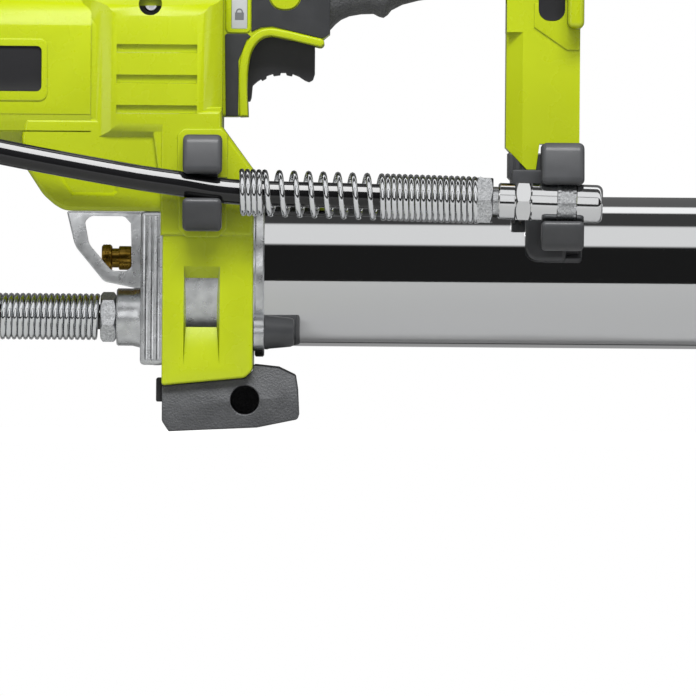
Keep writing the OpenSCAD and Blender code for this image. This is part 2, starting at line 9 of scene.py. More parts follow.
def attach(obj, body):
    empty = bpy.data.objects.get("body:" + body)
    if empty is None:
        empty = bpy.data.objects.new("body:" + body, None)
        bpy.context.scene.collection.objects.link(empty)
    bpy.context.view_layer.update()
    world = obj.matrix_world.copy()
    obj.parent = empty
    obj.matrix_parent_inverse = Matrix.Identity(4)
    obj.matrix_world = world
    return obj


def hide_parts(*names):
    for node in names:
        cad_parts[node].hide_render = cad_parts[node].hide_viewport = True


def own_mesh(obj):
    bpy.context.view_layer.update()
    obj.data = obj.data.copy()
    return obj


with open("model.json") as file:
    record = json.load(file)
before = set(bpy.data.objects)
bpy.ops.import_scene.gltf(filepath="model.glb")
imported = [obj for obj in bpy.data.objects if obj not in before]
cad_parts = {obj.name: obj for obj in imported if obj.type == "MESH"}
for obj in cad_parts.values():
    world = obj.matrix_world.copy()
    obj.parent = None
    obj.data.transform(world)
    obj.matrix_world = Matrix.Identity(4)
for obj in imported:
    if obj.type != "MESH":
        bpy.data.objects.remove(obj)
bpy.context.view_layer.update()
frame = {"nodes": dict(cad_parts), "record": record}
print("frame loaded")

scene = bpy.context.scene
scene.view_settings.view_transform = "Standard"

# Sizes below are in millimetres: X runs back along the barrel, -Y is the side with the hose, Z is up.


# ---------- camera, floor and light ----------
studio = {
    "target": (32.1, 0, -29.6),
    "distance": 4000,
    "viewWidth": 266.7,
    "azimuth": 0.0,
    "elevation": 0.6,
    "roll": 0.45,
    "floorHeight": -61.9,
    "floorSize": (3200, 262),
    "floorFrontEdge": -230,
}


def toMetres(*values):
    return Vector(values) * 0.001


def setUpCamera():
    azimuth, elevation = math.radians(studio["azimuth"]), math.radians(studio["elevation"])
    back = Vector((math.sin(azimuth) * math.cos(elevation), -math.cos(azimuth) * math.cos(elevation), math.sin(elevation)))
    data = bpy.data.cameras.new("camera")
    data.sensor_width = 36
    data.lens = 36 * studio["distance"] / studio["viewWidth"]
    data.clip_end = 20
    camera = bpy.data.objects.new("camera", data)
    camera.location = toMetres(*studio["target"]) + back * studio["distance"] * 0.001
    turn = back.to_track_quat("Z", "Y").to_matrix().to_4x4() @ Matrix.Rotation(math.radians(studio["roll"]), 4, "Z")
    camera.rotation_euler = turn.to_euler()
    scene.collection.objects.link(camera)
    scene.camera = camera


setUpCamera()


# ---------- materials ----------
def toLinear(hexColour):
    channels = [int(hexColour[i:i + 2], 16) / 255 for i in (1, 3, 5)]
    return tuple(c / 12.92 if c < 0.04045 else ((c + 0.055) / 1.055) ** 2.4 for c in channels) + (1.0,)


def addNode(tree, kind, settings=(), links=()):
    # settings holds attributes and input values, links holds input name to output socket
    node = tree.nodes.new(kind)
    for key, value in dict(settings).items():
        if hasattr(node, str(key)):
            setattr(node, key, value)
        else:
            node.inputs[key].default_value = value
    for key, socket in dict(links).items():
        tree.links.new(socket, node.inputs[key])
    return node


def startMaterial(name, baseColour, metallic, roughness, ior=1.5):
    material = bpy.data.materials.new(name)
    material.use_nodes = True
    tree = material.node_tree
    shader = tree.nodes["Principled BSDF"]
    shader.inputs["Base Color"].default_value = toLinear(baseColour)
    shader.inputs["Metallic"].default_value = metallic
    shader.inputs["Roughness"].default_value = roughness
    if not metallic:
        shader.inputs["IOR"].default_value = ior
    place = addNode(tree, "ShaderNodeTexCoord").outputs["Object"]
    return material, tree, shader, place


def perMetre(sizeMm):
    # noise scale that gives features of a real size
    return 1000.0 / sizeMm


def varyColour(tree, shader, place, low, high, sizeMm, detail=3.0):
    noise = addNode(tree, "ShaderNodeTexNoise", {"Scale": perMetre(sizeMm), "Detail": detail}, {"Vector": place})
    ramp = addNode(tree, "ShaderNodeValToRGB", (), {"Fac": noise.outputs["Fac"]})
    ramp.color_ramp.elements[0].position = 0.35
    ramp.color_ramp.elements[1].position = 0.65
    ramp.color_ramp.elements[0].color = toLinear(low)
    ramp.color_ramp.elements[1].color = toLinear(high)
    tree.links.new(ramp.outputs["Color"], shader.inputs["Base Color"])
    return ramp


def varyRoughness(tree, shader, place, low, high, sizeMm):
    noise = addNode(tree, "ShaderNodeTexNoise", {"Scale": perMetre(sizeMm), "Detail": 4.0}, {"Vector": place})
    spread = addNode(tree, "ShaderNodeMapRange", {"To Min": low, "To Max": high}, {"Value": noise.outputs["Fac"]})
    tree.links.new(spread.outputs["Result"], shader.inputs["Roughness"])


def addBump(tree, shader, height, depthMm, strength):
    bump = addNode(tree, "ShaderNodeBump", {"Strength": strength, "Distance": depthMm * 0.001}, {"Height": height})
    tree.links.new(bump.outputs["Normal"], shader.inputs["Normal"])


def mouldedAbs(name, low, high, roughness, grainMm=0.55, strength=0.12):
    # injection moulded ABS: even colour, soft sheen and a fine spark-eroded grain, drawn coarser than the real 0.1 mm
    material, tree, shader, place = startMaterial(name, low, 0.0, roughness, 1.53)
    varyColour(tree, shader, place, low, high, 45)
    varyRoughness(tree, shader, place, roughness - 0.04, roughness + 0.05, 12)
    grain = addNode(tree, "ShaderNodeTexNoise", {"Scale": perMetre(grainMm), "Detail": 2.0}, {"Vector": place})
    addBump(tree, shader, grain.outputs["Fac"], 0.06, strength)
    return material


def softOvermould(name, low, high, roughness, grainMm, depthMm, strength):
    # moulded thermoplastic rubber: dull, dark grey, with a pebbled grain
    material, tree, shader, place = startMaterial(name, low, 0.0, roughness, 1.5)
    varyColour(tree, shader, place, low, high, 7)
    pebbles = addNode(tree, "ShaderNodeTexVoronoi", {"Scale": perMetre(grainMm)}, {"Vector": place})
    fine = addNode(tree, "ShaderNodeTexNoise", {"Scale": perMetre(grainMm * 0.6), "Detail": 2.0}, {"Vector": place})
    both = addNode(tree, "ShaderNodeMath", {"operation": "ADD"}, ())
    tree.links.new(pebbles.outputs["Distance"], both.inputs[0])
    tree.links.new(fine.outputs["Fac"], both.inputs[1])
    addBump(tree, shader, both.outputs["Value"], depthMm, strength)
    return material


def extrudedHoseCover(name):
    # extruded thermoplastic cover: deep black, very smooth, with faint draw marks
    material, tree, shader, place = startMaterial(name, "#0c0c0d", 0.0, 0.07, 1.55)
    varyRoughness(tree, shader, place, 0.05, 0.11, 9)
    marks = addNode(tree, "ShaderNodeTexNoise", {"Scale": perMetre(4), "Detail": 3.0}, {"Vector": place})
    addBump(tree, shader, marks.outputs["Fac"], 0.08, 0.15)
    return material


def chromePlate(name, tint, roughness, waveMm=30):
    # bright chrome plate on drawn steel: mirror finish with a very slight waviness
    material, tree, shader, place = startMaterial(name, tint, 1.0, roughness)
    varyRoughness(tree, shader, place, roughness * 0.7, roughness * 1.5, 14)
    wave = addNode(tree, "ShaderNodeTexNoise", {"Scale": perMetre(waveMm), "Detail": 1.0}, {"Vector": place})
    addBump(tree, shader, wave.outputs["Fac"], 0.03, 0.08)
    return material


def zincPlate(name, low, high):
    # zinc plated steel: bright but frosted, with fine crystalline sparkle of about half a millimetre
    material, tree, shader, place = startMaterial(name, low, 1.0, 0.3)
    cells = addNode(tree, "ShaderNodeTexVoronoi", {"Scale": perMetre(0.55)}, {"Vector": place})
    tone = addNode(tree, "ShaderNodeValToRGB", (), {"Fac": cells.outputs["Color"]})
    tone.color_ramp.elements[0].color = toLinear(low)
    tone.color_ramp.elements[1].color = toLinear(high)
    tree.links.new(tone.outputs["Color"], shader.inputs["Base Color"])
    varyRoughness(tree, shader, place, 0.2, 0.42, 0.8)
    addBump(tree, shader, cells.outputs["Distance"], 0.06, 0.3)
    return material


def dieCastAlloy(name, low, high):
    # shot-blasted die cast aluminium: grey, softly shining, with flow marks and a fine sandy skin
    material, tree, shader, place = startMaterial(name, low, 1.0, 0.4)
    varyColour(tree, shader, place, low, high, 5, 5.0)
    varyRoughness(tree, shader, place, 0.2, 0.38, 3)
    skin = addNode(tree, "ShaderNodeTexNoise", {"Scale": perMetre(0.9), "Detail": 4.0}, {"Vector": place})
    addBump(tree, shader, skin.outputs["Fac"], 0.12, 0.35)
    return material


def machinedMetal(name, low, high, roughness, markMm=1.2):
    # turned or ground metal: tight tool marks and a slightly uneven tone
    material, tree, shader, place = startMaterial(name, low, 1.0, roughness)
    varyColour(tree, shader, place, low, high, 4)
    varyRoughness(tree, shader, place, roughness * 0.8, roughness * 1.3, 2.5)
    marks = addNode(tree, "ShaderNodeTexNoise", {"Scale": perMetre(markMm), "Detail": 2.0}, {"Vector": place})
    addBump(tree, shader, marks.outputs["Fac"], 0.04, 0.2)
    return material


finishes = {
    "lime": mouldedAbs("lime_moulded_abs", "#a2b004", "#a8b706", 0.27),
    "darkOvermould": softOvermould("dark_overmould", "#37383a", "#3c3d3f", 0.55, 0.5, 0.05, 0.15),
    "gripOvermould": softOvermould("textured_grip_overmould", "#545557", "#626365", 0.5, 1.2, 0.35, 0.8),
    "footOvermould": softOvermould("moulded_foot_nylon", "#444547", "#4d4e50", 0.55, 0.9, 0.3, 0.7),
    "clipOvermould": softOvermould("moulded_clip_rubber", "#3b3c3e", "#404143", 0.38, 0.5, 0.04, 0.12),
    "label": mouldedAbs("label_gloss_black", "#2b2b2d", "#303032", 0.24, 0.4, 0.05),
    "icon": mouldedAbs("icon_plate_silver_grey", "#b9bbbe", "#c2c4c7", 0.4),
    "iconLine": mouldedAbs("icon_printed_line", "#6d6f72", "#75777a", 0.5),
    "trigger": mouldedAbs("trigger_black_nylon", "#343436", "#39393c", 0.4),
    "screw": machinedMetal("screw_zinc_steel", "#b4b5b7", "#cfd0d2", 0.3),
    "blackScrew": machinedMetal("screw_black_oxide", "#2a2a2b", "#343435", 0.4),
    "spring": chromePlate("spring_wire_bright", "#e4e6e8", 0.1, 3),
    "board": mouldedAbs("circuit_board_resist", "#0b4a22", "#0e5527", 0.3),
    "brass": machinedMetal("turned_brass", "#a8842f", "#bf9a44", 0.28),
    "motor": machinedMetal("motor_steel", "#8b8c8e", "#9a9b9d", 0.35),
    "gear": machinedMetal("gear_steel", "#a0a1a3", "#b2b3b5", 0.3),
    "cast": dieCastAlloy("die_cast_aluminium", "#c2c4c6", "#dcdee0"),
    "chrome": chromePlate("barrel_chrome", "#d4d5d6", 0.045),
    "fitting": chromePlate("fitting_chrome", "#dfe0e1", 0.09, 8),
    "zinc": zincPlate("zinc_plated_steel", "#9fa1a3", "#e2e4e6"),
    "seal": softOvermould("seal_rubber", "#1c1c1d", "#222223", 0.5, 0.6, 0.05, 0.2),
    "hose": extrudedHoseCover("hose_cover_black"),
}
slotFinish = {
    "lime_plastic": "lime", "grip_rubber": "gripOvermould", "clip_rubber": "clipOvermould",
    "icon_grey": "icon", "label_black": "label", "black_screws": "blackScrew", "trigger_black": "trigger",
    "spring_steel": "spring", "board_green": "board", "brass": "brass", "motor_steel": "motor",
    "gear_steel": "gear", "cast_metal": "cast", "chrome_barrel": "chrome", "zinc_steel": "zinc",
    "chrome_fittings": "fitting", "seal_rubber": "seal", "hose_black": "hose",
}


def dressFrame():
    slots = {row["node"]: row["material_slot"] for row in frame["record"]["subparts"]}
    for name, node in frame["nodes"].items():
        finish = finishes[slotFinish[slots[name]]]
        for place in node.material_slots:
            place.material = finish


dressFrame()
print("materials made")


# ---------- mesh tools ----------
def prism(points, axis, low, high, corners=None, rim=0.0, rimSteps=3, cornerSteps=6, bothRims=False):
    # outline in the plane across axis, pushed from low to high; corners rounds the long edges, rim the cap at low
    bm = bmesh.new()
    lay = {"Y": lambda a, b: (a, low, b), "X": lambda a, b: (low, a, b), "Z": lambda a, b: (a, b, low)}[axis]
    way = {"Y": Vector((0, 1, 0)), "X": Vector((1, 0, 0)), "Z": Vector((0, 0, 1))}[axis]
    ring = [bm.verts.new(lay(a, b)) for a, b in points]
    cap = bm.faces.new(ring)
    pushed = bmesh.ops.extrude_face_region(bm, geom=[cap], use_keep_orig=True)
    moved = [item for item in pushed["geom"] if isinstance(item, bmesh.types.BMVert)]
    bmesh.ops.translate(bm, verts=moved, vec=way * (high - low))
    bmesh.ops.recalc_face_normals(bm, faces=bm.faces)
    if corners:
        bm.verts.ensure_lookup_table()
        sizes = corners if isinstance(corners, dict) else {i: corners for i in range(len(points))}
        groups = {}
        for i, size in sizes.items():
            groups.setdefault(size, []).append(Vector(lay(*points[i])))
        for size, spots in groups.items():
            edges = [
                e for e in bm.edges
                if abs((e.verts[1].co - e.verts[0].co).normalized().dot(way)) > 0.999
                and any((min(e.verts, key=lambda v: v.co.dot(way)).co - s).length < 1e-4 for s in spots)
            ]
            roundEdges(bm, edges, size, cornerSteps)
    if rim:
        edges = []
        for e in bm.edges:
            levels = [v.co.dot(way) for v in e.verts]
            if max(abs(level - low) for level in levels) < 1e-4:
                edges.append(e)
            elif bothRims and max(abs(level - high) for level in levels) < 1e-4:
                edges.append(e)
        roundEdges(bm, edges, rim, rimSteps)
    return bm


def roundEdges(bm, edges, size, steps):
    if edges and size:
        bmesh.ops.bevel(
            bm, geom=edges, offset=size, offset_type="OFFSET", segments=steps, profile=0.5,
            affect="EDGES", material=-1, clamp_overlap=True,
        )


def block(low, high, size=0.0, steps=3):
    bm = bmesh.new()
    bmesh.ops.create_cube(bm, size=1.0)
    low, high = Vector(low), Vector(high)
    bmesh.ops.scale(bm, vec=high - low, verts=bm.verts)
    bmesh.ops.translate(bm, vec=(low + high) / 2, verts=bm.verts)
    roundEdges(bm, list(bm.edges), size, steps)
    return bm


def turned(profile, axis="X", at=(0, 0, 0), steps=64):
    # spins (along, radius) points about the axis
    bm = bmesh.new()
    ring = [bm.verts.new((along, radius, 0)) for along, radius in profile]
    edges = [bm.edges.new(pair) for pair in zip(ring, ring[1:])]
    bmesh.ops.spin(
        bm, geom=ring + edges, cent=(0, 0, 0), axis=(1, 0, 0), angle=math.tau, steps=steps, use_merge=True,
    )
    bmesh.ops.remove_doubles(bm, verts=bm.verts, dist=1e-5)
    bmesh.ops.recalc_face_normals(bm, faces=bm.faces)
    if axis == "Y":
        bmesh.ops.rotate(bm, cent=(0, 0, 0), matrix=Matrix.Rotation(math.radians(90), 3, "Z"), verts=bm.verts)
    if axis == "Z":
        bmesh.ops.rotate(bm, cent=(0, 0, 0), matrix=Matrix.Rotation(math.radians(-90), 3, "Y"), verts=bm.verts)
    bmesh.ops.translate(bm, vec=at, verts=bm.verts)
    return bm


def shift(bm, x=0.0, y=0.0, z=0.0):
    bmesh.ops.translate(bm, vec=(x, y, z), verts=bm.verts)
    return bm


def turn(bm, axis, degrees, cent=(0, 0, 0)):
    bmesh.ops.rotate(bm, cent=cent, matrix=Matrix.Rotation(math.radians(degrees), 3, axis), verts=bm.verts)
    return bm


def mirrorSide(bm):
    bmesh.ops.scale(bm, vec=(1, -1, 1), verts=bm.verts)
    bmesh.ops.reverse_faces(bm, faces=bm.faces)
    return bm


def together(*shapes):
    # several closed shapes in one bmesh
    whole = bmesh.new()
    for shape in shapes:
        mesh = bpy.data.meshes.new("loose")
        shape.to_mesh(mesh)
        whole.from_mesh(mesh)
        bpy.data.meshes.remove(mesh)
        shape.free()
    return whole


def rawObject(bm, name):
    mesh = bpy.data.meshes.new(name)
    bm.to_mesh(mesh)
    bm.free()
    thing = bpy.data.objects.new(name, mesh)
    scene.collection.objects.link(thing)
    return thing


def combine(thing, shapes, operation):
    # boolean of a working object with shapes, one after another, applied to its mesh
    tools = [rawObject(shape, "tool") for shape in shapes]
    for tool in tools:
        cut = thing.modifiers.new("cut", "BOOLEAN")
        cut.operation = operation
        cut.object = tool
        cut.solver = "EXACT"
    applyAll(thing)
    for tool in tools:
        bpy.data.objects.remove(tool)


def applyAll(thing):
    graph = bpy.context.evaluated_depsgraph_get()
    graph.update()
    mesh = bpy.data.meshes.new_from_object(thing.evaluated_get(graph))
    thing.modifiers.clear()
    old = thing.data
    thing.data = mesh
    bpy.data.meshes.remove(old)


def meshCopy(thing):
    bm = bmesh.new()
    bm.from_mesh(thing.data)
    return bm


def weldSlivers(thing):
    # closes the hair-thin faces that cutting leaves, so that the edge radius runs cleanly
    bm = meshCopy(thing)
    bmesh.ops.remove_doubles(bm, verts=bm.verts, dist=0.06)
    bmesh.ops.dissolve_degenerate(bm, dist=0.03, edges=bm.edges)
    bm.to_mesh(thing.data)
    bm.free()


def finishPiece(thing, name, finish, body="gun", replaces=(), soft=0.0, softSteps=2, sharp=32):
    # scales from millimetres, smooths, adds the small edge radius, attaches the piece to its body and hides the frame
    # parts it replaces
    thing.name = name
    thing.data.name = name
    if soft:
        weldSlivers(thing)
    thing.data.transform(Matrix.Scale(0.001, 4))
    thing.data.materials.clear()
    thing.data.materials.append(finishes[finish])
    for face in thing.data.polygons:
        face.material_index = 0
    thing.data.shade_smooth()
    if soft:
        edge = thing.modifiers.new("edge radius", "BEVEL")
        edge.width = soft * 0.001
        edge.segments = softSteps
        edge.limit_method = "ANGLE"
        edge.angle_limit = math.radians(sharp)
        edge.use_clamp_overlap = True
        edge.miter_outer = "MITER_ARC"
        edge.harden_normals = True
    else:
        thing.data.set_sharp_from_angle(angle=math.radians(sharp))
    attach(thing, body)
    if replaces:
        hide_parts(*replaces)
    return thing


# ---------- hose ----------
hose = {
    "route": [
        (-60, 0, -18.4), (-110, 0, -18.4), (-154, 0, -18.8), (-190, -2, -27), (-224, -6, -43), (-256, -11, -54),
        (-290, -17, -47), (-315, -22, -22), (-322, -27, 12), (-312, -32, 46), (-286, -37, 71),
        (-254, -42, 80), (-220, -45, 75), (-186, -46, 65), (-150, -46, 55), (-102, -46, 44.5), (-55, -46, 36),
        (-32, -46, 32.6), (-10, -46, 29.6), (35, -46, 28.5), (81, -46, 27.3),
    ],
    "diameter": 9.6,
    "length": 762,
    "pointsPerSpan": 10,
}


def routeCurve(points, perSpan):
    # the same Catmull-Rom curve as the frame's tube
    line = []
    spots = [Vector(p) for p in points]
    last = len(spots) - 1
    for i in range(last):
        a, b = spots[max(0, i - 1)], spots[i]
        c, d = spots[i + 1], spots[min(last, i + 2)]
        for k in range(perSpan):
            t = k / perSpan
            line.append(0.5 * (2 * b + (c - a) * t + (2 * a - 5 * b + 4 * c - d) * t * t + (3 * b - a - 3 * c + d) * t ** 3))
    return line + [spots[last]]


def makeHose():
    line = routeCurve(hose["route"], hose["pointsPerSpan"])
    data = bpy.data.curves.new("hose_cover", "CURVE")
    data.dimensions = "3D"
    data.bevel_depth = hose["diameter"] / 2 * 0.001
    data.bevel_resolution = 8
    data.use_fill_caps = True
    spline = data.splines.new("POLY")
    spline.points.add(len(line) - 1)
    for point, spot in zip(spline.points, line):
        point.co = (*(spot * 0.001), 1.0)
    spline.use_smooth = True
    piece = bpy.data.objects.new("hose_cover", data)
    scene.collection.objects.link(piece)
    data.materials.append(finishes["hose"])
    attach(piece, "gun")
    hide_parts("hose")
    return piece, line


hosePiece, hoseLine = makeHose()
print("hose length", round(sum((b - a).length for a, b in zip(hoseLine, hoseLine[1:])), 1))


# ---------- clipped line: guards, nuts and coupler ----------
clippedLine = {"y": -46.0, "startZ": 29.35, "tilt": 1.46}


def onLine(bm, x):
    # moves a shape built along +X from 0 on to the clipped stretch of hose
    z = clippedLine["startZ"] - x * math.tan(math.radians(clippedLine["tilt"]))
    turn(bm, "Y", clippedLine["tilt"])
    return shift(bm, x, clippedLine["y"], z)


guard = {
    "wire": 2.15,
    "outer": 18.0,
    # coils and pitch of each stretch, from the free end
    "stretches": [(4, 2.16), (8, 5.55), (17, 2.2)],
    "stepsPerTurn": 28,
}


def springGuard():
    # one wire swept round in stretches of different pitch
    bm = bmesh.new()
    radius = (guard["outer"] - guard["wire"]) / 2
    ring = bmesh.ops.create_circle(bm, cap_ends=False, radius=guard["wire"] / 2, segments=8)["verts"]
    bmesh.ops.rotate(bm, cent=(0, 0, 0), matrix=Matrix.Rotation(math.radians(90), 3, "X"), verts=ring)
    bmesh.ops.translate(bm, vec=(guard["wire"] / 2, 0, radius), verts=ring)
    tip = list(ring) + [e for e in bm.edges]
    first = list(bm.edges)
    for turns, pitch in guard["stretches"]:
        steps = turns * guard["stepsPerTurn"]
        swept = bmesh.ops.spin(
            bm, geom=tip, cent=(0, 0, 0), axis=(1, 0, 0), dvec=(pitch / guard["stepsPerTurn"], 0, 0),
            angle=math.tau * turns, steps=steps, use_merge=False,
        )
        tip = swept["geom_last"]
    bmesh.ops.holes_fill(bm, edges=[e for e in bm.edges if e.is_boundary], sides=0)
    bmesh.ops.recalc_face_normals(bm, faces=bm.faces)
    return bm


def makeGuards():
    rear = rawObject(onLine(springGuard(), -9.9), "guard")
    finishPiece(rear, "guard_rear_coil", "spring", replaces=["guard_rear"], sharp=60)
    front = springGuard()
    turn(front, "Z", 180)
    length = sum(turns * pitch for turns, pitch in guard["stretches"]) + guard["wire"]
    shift(front, -62.9, 0, -18.4)
    low = min(v.co.x for v in front.verts)
    high = max(v.co.x for v in front.verts)
    # turned end for end, so that its close coils meet the nut
    bmesh.ops.scale(front, vec=(-1, 1, 1), verts=front.verts)
    bmesh.ops.reverse_faces(front, faces=front.faces)
    shift(front, low + high)
    shift(front, -62.9 - max(v.co.x for v in front.verts))
    piece = rawObject(front, "guard")
    finishPiece(piece, "guard_front_coil", "spring", replaces=["guard_front"], sharp=60)
    print("guard length", round(length, 1))
    return front


makeGuards()


def hexNut(length, flats, bore, chamfer=1.1):
    # hexagon with turned chamfers at both ends and a clear hole
    bm = bmesh.new()
    bmesh.ops.create_cone(bm, cap_ends=True, segments=6, radius1=flats / math.sqrt(3), radius2=flats / math.sqrt(3), depth=length)
    turn(bm, "Y", 90)
    shift(bm, length / 2)
    nut = rawObject(bm, "nut")
    corner = flats / math.sqrt(3) * 1.01
    mid = flats / 2 * 0.97
    shape = turned([(0, 0), (0, mid), (chamfer, corner), (length - chamfer, corner), (length, mid), (length, 0)])
    combine(nut, [shape], "INTERSECT")
    if bore:
        combine(nut, [turned([(-1, 0), (-1, bore), (length + 1, bore), (length + 1, 0)])], "DIFFERENCE")
    return nut


def asShape(thing):
    bm = bmesh.new()
    bm.from_mesh(thing.data)
    bpy.data.objects.remove(thing)
    return bm


def makeHoseNuts():
    front = asShape(hexNut(6.1, 17, 4.9))
    turn(front, "X", 18)
    shift(front, -62.8, 0, -18.4)
    neck = turned([(-57.2, 4.9), (-57.2, 6.0), (-56.7, 6.0), (-56.7, 4.4), (-50.1, 4.4), (-50.1, 2.2), (-56, 2.2), (-56, 4.9), (-57.2, 4.9)], at=(0, 0, -18.4))
    finishPiece(rawObject(together(front, neck), "nut"), "hose_nut_front_zinc", "zinc", replaces=["hose_nut_front"], soft=0.25)
    rear = asShape(hexNut(6.7, 17, 4.9))
    neck = turned([(6.2, 0), (6.2, 5.3), (8.7, 5.3), (8.7, 0)])
    finishPiece(rawObject(onLine(together(rear, neck), 79.8), "nut"), "hose_nut_rear_zinc", "zinc", replaces=["hose_nut_rear"], soft=0.25)


makeHoseNuts()


def knurledBand(x0, x1, radius, depth, around=44):
    # diamond knurl: a fine grid whose crossings stand proud in turn
    rows = max(6, int(round((x1 - x0) / (math.tau * radius / around))))
    rows += rows % 2
    bm = turned([(x0 + (x1 - x0) * i / rows, radius) for i in range(rows + 1)], steps=around * 2)
    pitchX = (x1 - x0) / rows
    for v in bm.verts:
        column = round((math.atan2(v.co.z, v.co.y) / math.tau) * around * 2)
        row = round((v.co.x - x0) / pitchX)
        if 0 < row < rows:
            grow = depth if (column // 2 + row) % 2 else -depth
            away = Vector((0, v.co.y, v.co.z)).normalized()
            v.co += away * grow
    inner = turned([(x0, radius), (x0, radius * 0.8), (x1, radius * 0.8), (x1, radius)], steps=around * 2)
    return together(bm, inner)


coupler = {"sleeveRadius": 7.2, "sleeveStart": 100.85, "sleeveLength": 27.2, "knurl": (10.2, 17.2)}


def makeCoupler():
    stub = turned([(0, 0), (0, 6.2), (0.6, 6.8), (6.2, 6.8), (6.8, 6.3), (6.8, 0)])
    nut = asShape(hexNut(5.7, 14, 0, 0.9))
    shift(nut, 6.7)
    stem = turned([(12.2, 0), (12.2, 4.6), (30, 4.6), (30, 0)])
    body = rawObject(onLine(together(stub, nut, stem), 88.5), "coupler")
    finishPiece(body, "coupler_body_plated", "fitting", replaces=["coupler_body"], soft=0.3)
    r = coupler["sleeveRadius"]
    k0, k1 = coupler["knurl"]
    shell = turned([
        (0, 4.65), (0, 6.8), (0.5, r), (k0 - 0.3, r), (k0, r - 0.5), (k1, r - 0.5), (k1 + 0.3, r), (25.0, r),
        (25.9, r - 0.2), (26.6, r - 0.7), (27.0, r - 1.3), (27.2, r - 2.0), (27.2, 3.4), (25.6, 3.4),
        (25.6, 5.9), (18.5, 5.9), (18.5, 4.65), (0, 4.65),
    ], steps=72)
    band = knurledBand(k0 + 0.05, k1 - 0.05, r - 0.12, 0.22, 48)
    knurl = rawObject(onLine(band, coupler["sleeveStart"]), "knurl")
    finishPiece(knurl, "coupler_knurl_band", "zinc", "sleeve", sharp=30)
    sleeve = rawObject(onLine(shell, coupler["sleeveStart"]), "sleeve")
    finishPiece(sleeve, "coupler_sleeve_plated", "fitting", "sleeve", ["coupler_sleeve"], sharp=38)


makeCoupler()
print("hose, guards and coupler made")


# ---------- casing ----------
casing = {
    "motorZ": 75.5,
    "halfSection": [  # across the motor: depth from the middle, height
        (4, 42), (-13, 42), (-25, 46), (-31, 52.4), (-33, 58.5), (-33, 92.7), (-30.5, 99), (-24, 104.8), (-13, 108.3),
        (4, 108.3),
    ],
    "gearTop": [  # gearbox seen from above
        (-70, 3), (-70, -28), (-66.4, -31.2), (-62, -33.4), (-58.5, -35.4), (-55.5, -36.2), (-26.5, -36.2),
        (-23.5, -35.6), (-18.5, -32.6), (-16.4, -30.2), (-16.4, 3),
    ],
    "chin": [
        (-92.6, 50), (-91.4, 40.2), (-90.3, 37.4), (-84.2, 28.1), (-79.5, 24), (-75.7, 22.1), (-36, 22.1), (-36, 57), (-91, 57),
    ],
    "strap": [(-38.7, -44), (-7, -40.9), (-4.1, -38), (-4.1, 37.8), (-16.4, 54.5), (-16.4, 62), (-44, 62), (-38.7, 22.1)],
    "lip": [(-8.3, 58.6), (-8.6, 66), (-8.8, 73), (-8.4, 79), (-6.9, 84.6), (-3.6, 89), (0.8, 90.8), (7, 90.0), (14, 88.4), (20.6, 86.9)],
    "column": [
        (-20, 58.6), (-10.4, 58.6), (-7.6, 59), (-7.1, 61), (-6.9, 77), (-5.6, 83.4), (-2.4, 88), (1.6, 89.3), (20.4, 85.6),
        (21.9, 86.6), (21.9, 88.4), (24.2, 90.5), (24.2, 134), (16, 133.4), (2, 128), (-20, 108),
    ],
    "post": [(91.7, 47.5), (99.7, 39.2), (103.2, 39.2), (104.5, 49), (119.7, 49), (119.7, 108), (91.7, 108)],
    "battery": [(84, 105.2), (119.5, 105.2), (119.5, 143), (90, 143), (84, 138)],
}


def bandOutline(middle, half):
    # closed outline of a band with rounded ends that follows a smooth line
    line = [Vector((x, 0, z)) for x, _, z in routeCurve([(a, 0, b) for a, b in middle], 5)]
    ahead = [(line[min(i + 1, len(line) - 1)] - line[max(i - 1, 0)]).normalized() for i in range(len(line))]
    left, right = [], []
    for spot, way in zip(line, ahead):
        side = Vector((-way.z, 0, way.x)) * half
        left.append((spot.x + side.x, spot.z + side.z))
        right.append((spot.x - side.x, spot.z - side.z))
    tip = []
    for k in range(1, 6):
        turned90 = math.pi * k / 6
        side = Vector((-ahead[-1].z, 0, ahead[-1].x)) * math.cos(turned90) + ahead[-1] * math.sin(turned90)
        tip.append((line[-1].x + side.x * half, line[-1].z + side.z * half))
    return left + tip + right[::-1]


def halfCasingOutside():
    body = rawObject(prism(casing["halfSection"], "X", -144, -66.4), "casing")
    inner = [(y * 0.975, z) for y, z in casing["halfSection"]]
    neck = prism(inner, "X", -70, -50)
    gears = prism(casing["gearTop"], "Z", 40, 108.9, corners={5: 1.2, 6: 1.2})
    hood = [(y * 1.13, z + (1.0 if z > 80 else 0)) for y, z in casing["halfSection"]]
    hoodCut = prism(hood, "X", -75, -16.3, corners={7: 6, 8: 6})
    gearBlock = rawObject(gears, "gears")
    combine(gearBlock, [hoodCut], "INTERSECT")
    chin = prism(casing["chin"], "Y", -32.8, 2.1, corners={3: 1.6, 4: 1.6, 5: 1.6}, rim=1.8, rimSteps=4)
    strap = prism(casing["strap"], "Y", -35.0, 2.4, corners={0: 1.2, 1: 1.2, 2: 1.2}, rim=1.0)
    upper = prism(
        [(-39.5, 12.9), (-5.4, 12.9), (-4.4, 13.9), (-4.4, 37.6), (-16.6, 54.1), (-16.6, 60.5), (-39.5, 60.5)],
        "Y", -36.2, -10, rim=1.4,
    )
    column = prism(casing["column"], "Y", -17.6, 2.7, corners={1: 1.2, 2: 1.2, 4: 3, 5: 4, 6: 4, 7: 4}, rim=1.2)
    core = prism([(20, 101.5), (40, 103.5), (95, 110), (95, 129.5), (20, 129.5)], "Y", -14.4, 3.2, corners=4, rim=2.8)
    post = prism(casing["post"], "Y", -20.0, 3.5, rim=0)
    battery = prism(casing["battery"], "Y", -19.6, 3.8, corners={0: 1.5, 3: 2, 4: 2}, rim=1.6)
    flange = block((114.6, -32, 92.7), (121, 4.3, 146), 2.5, 4)
    combine(body, [neck, asShape(gearBlock), chin, strap, upper, column, core, post, battery, flange], "UNION")
    return body


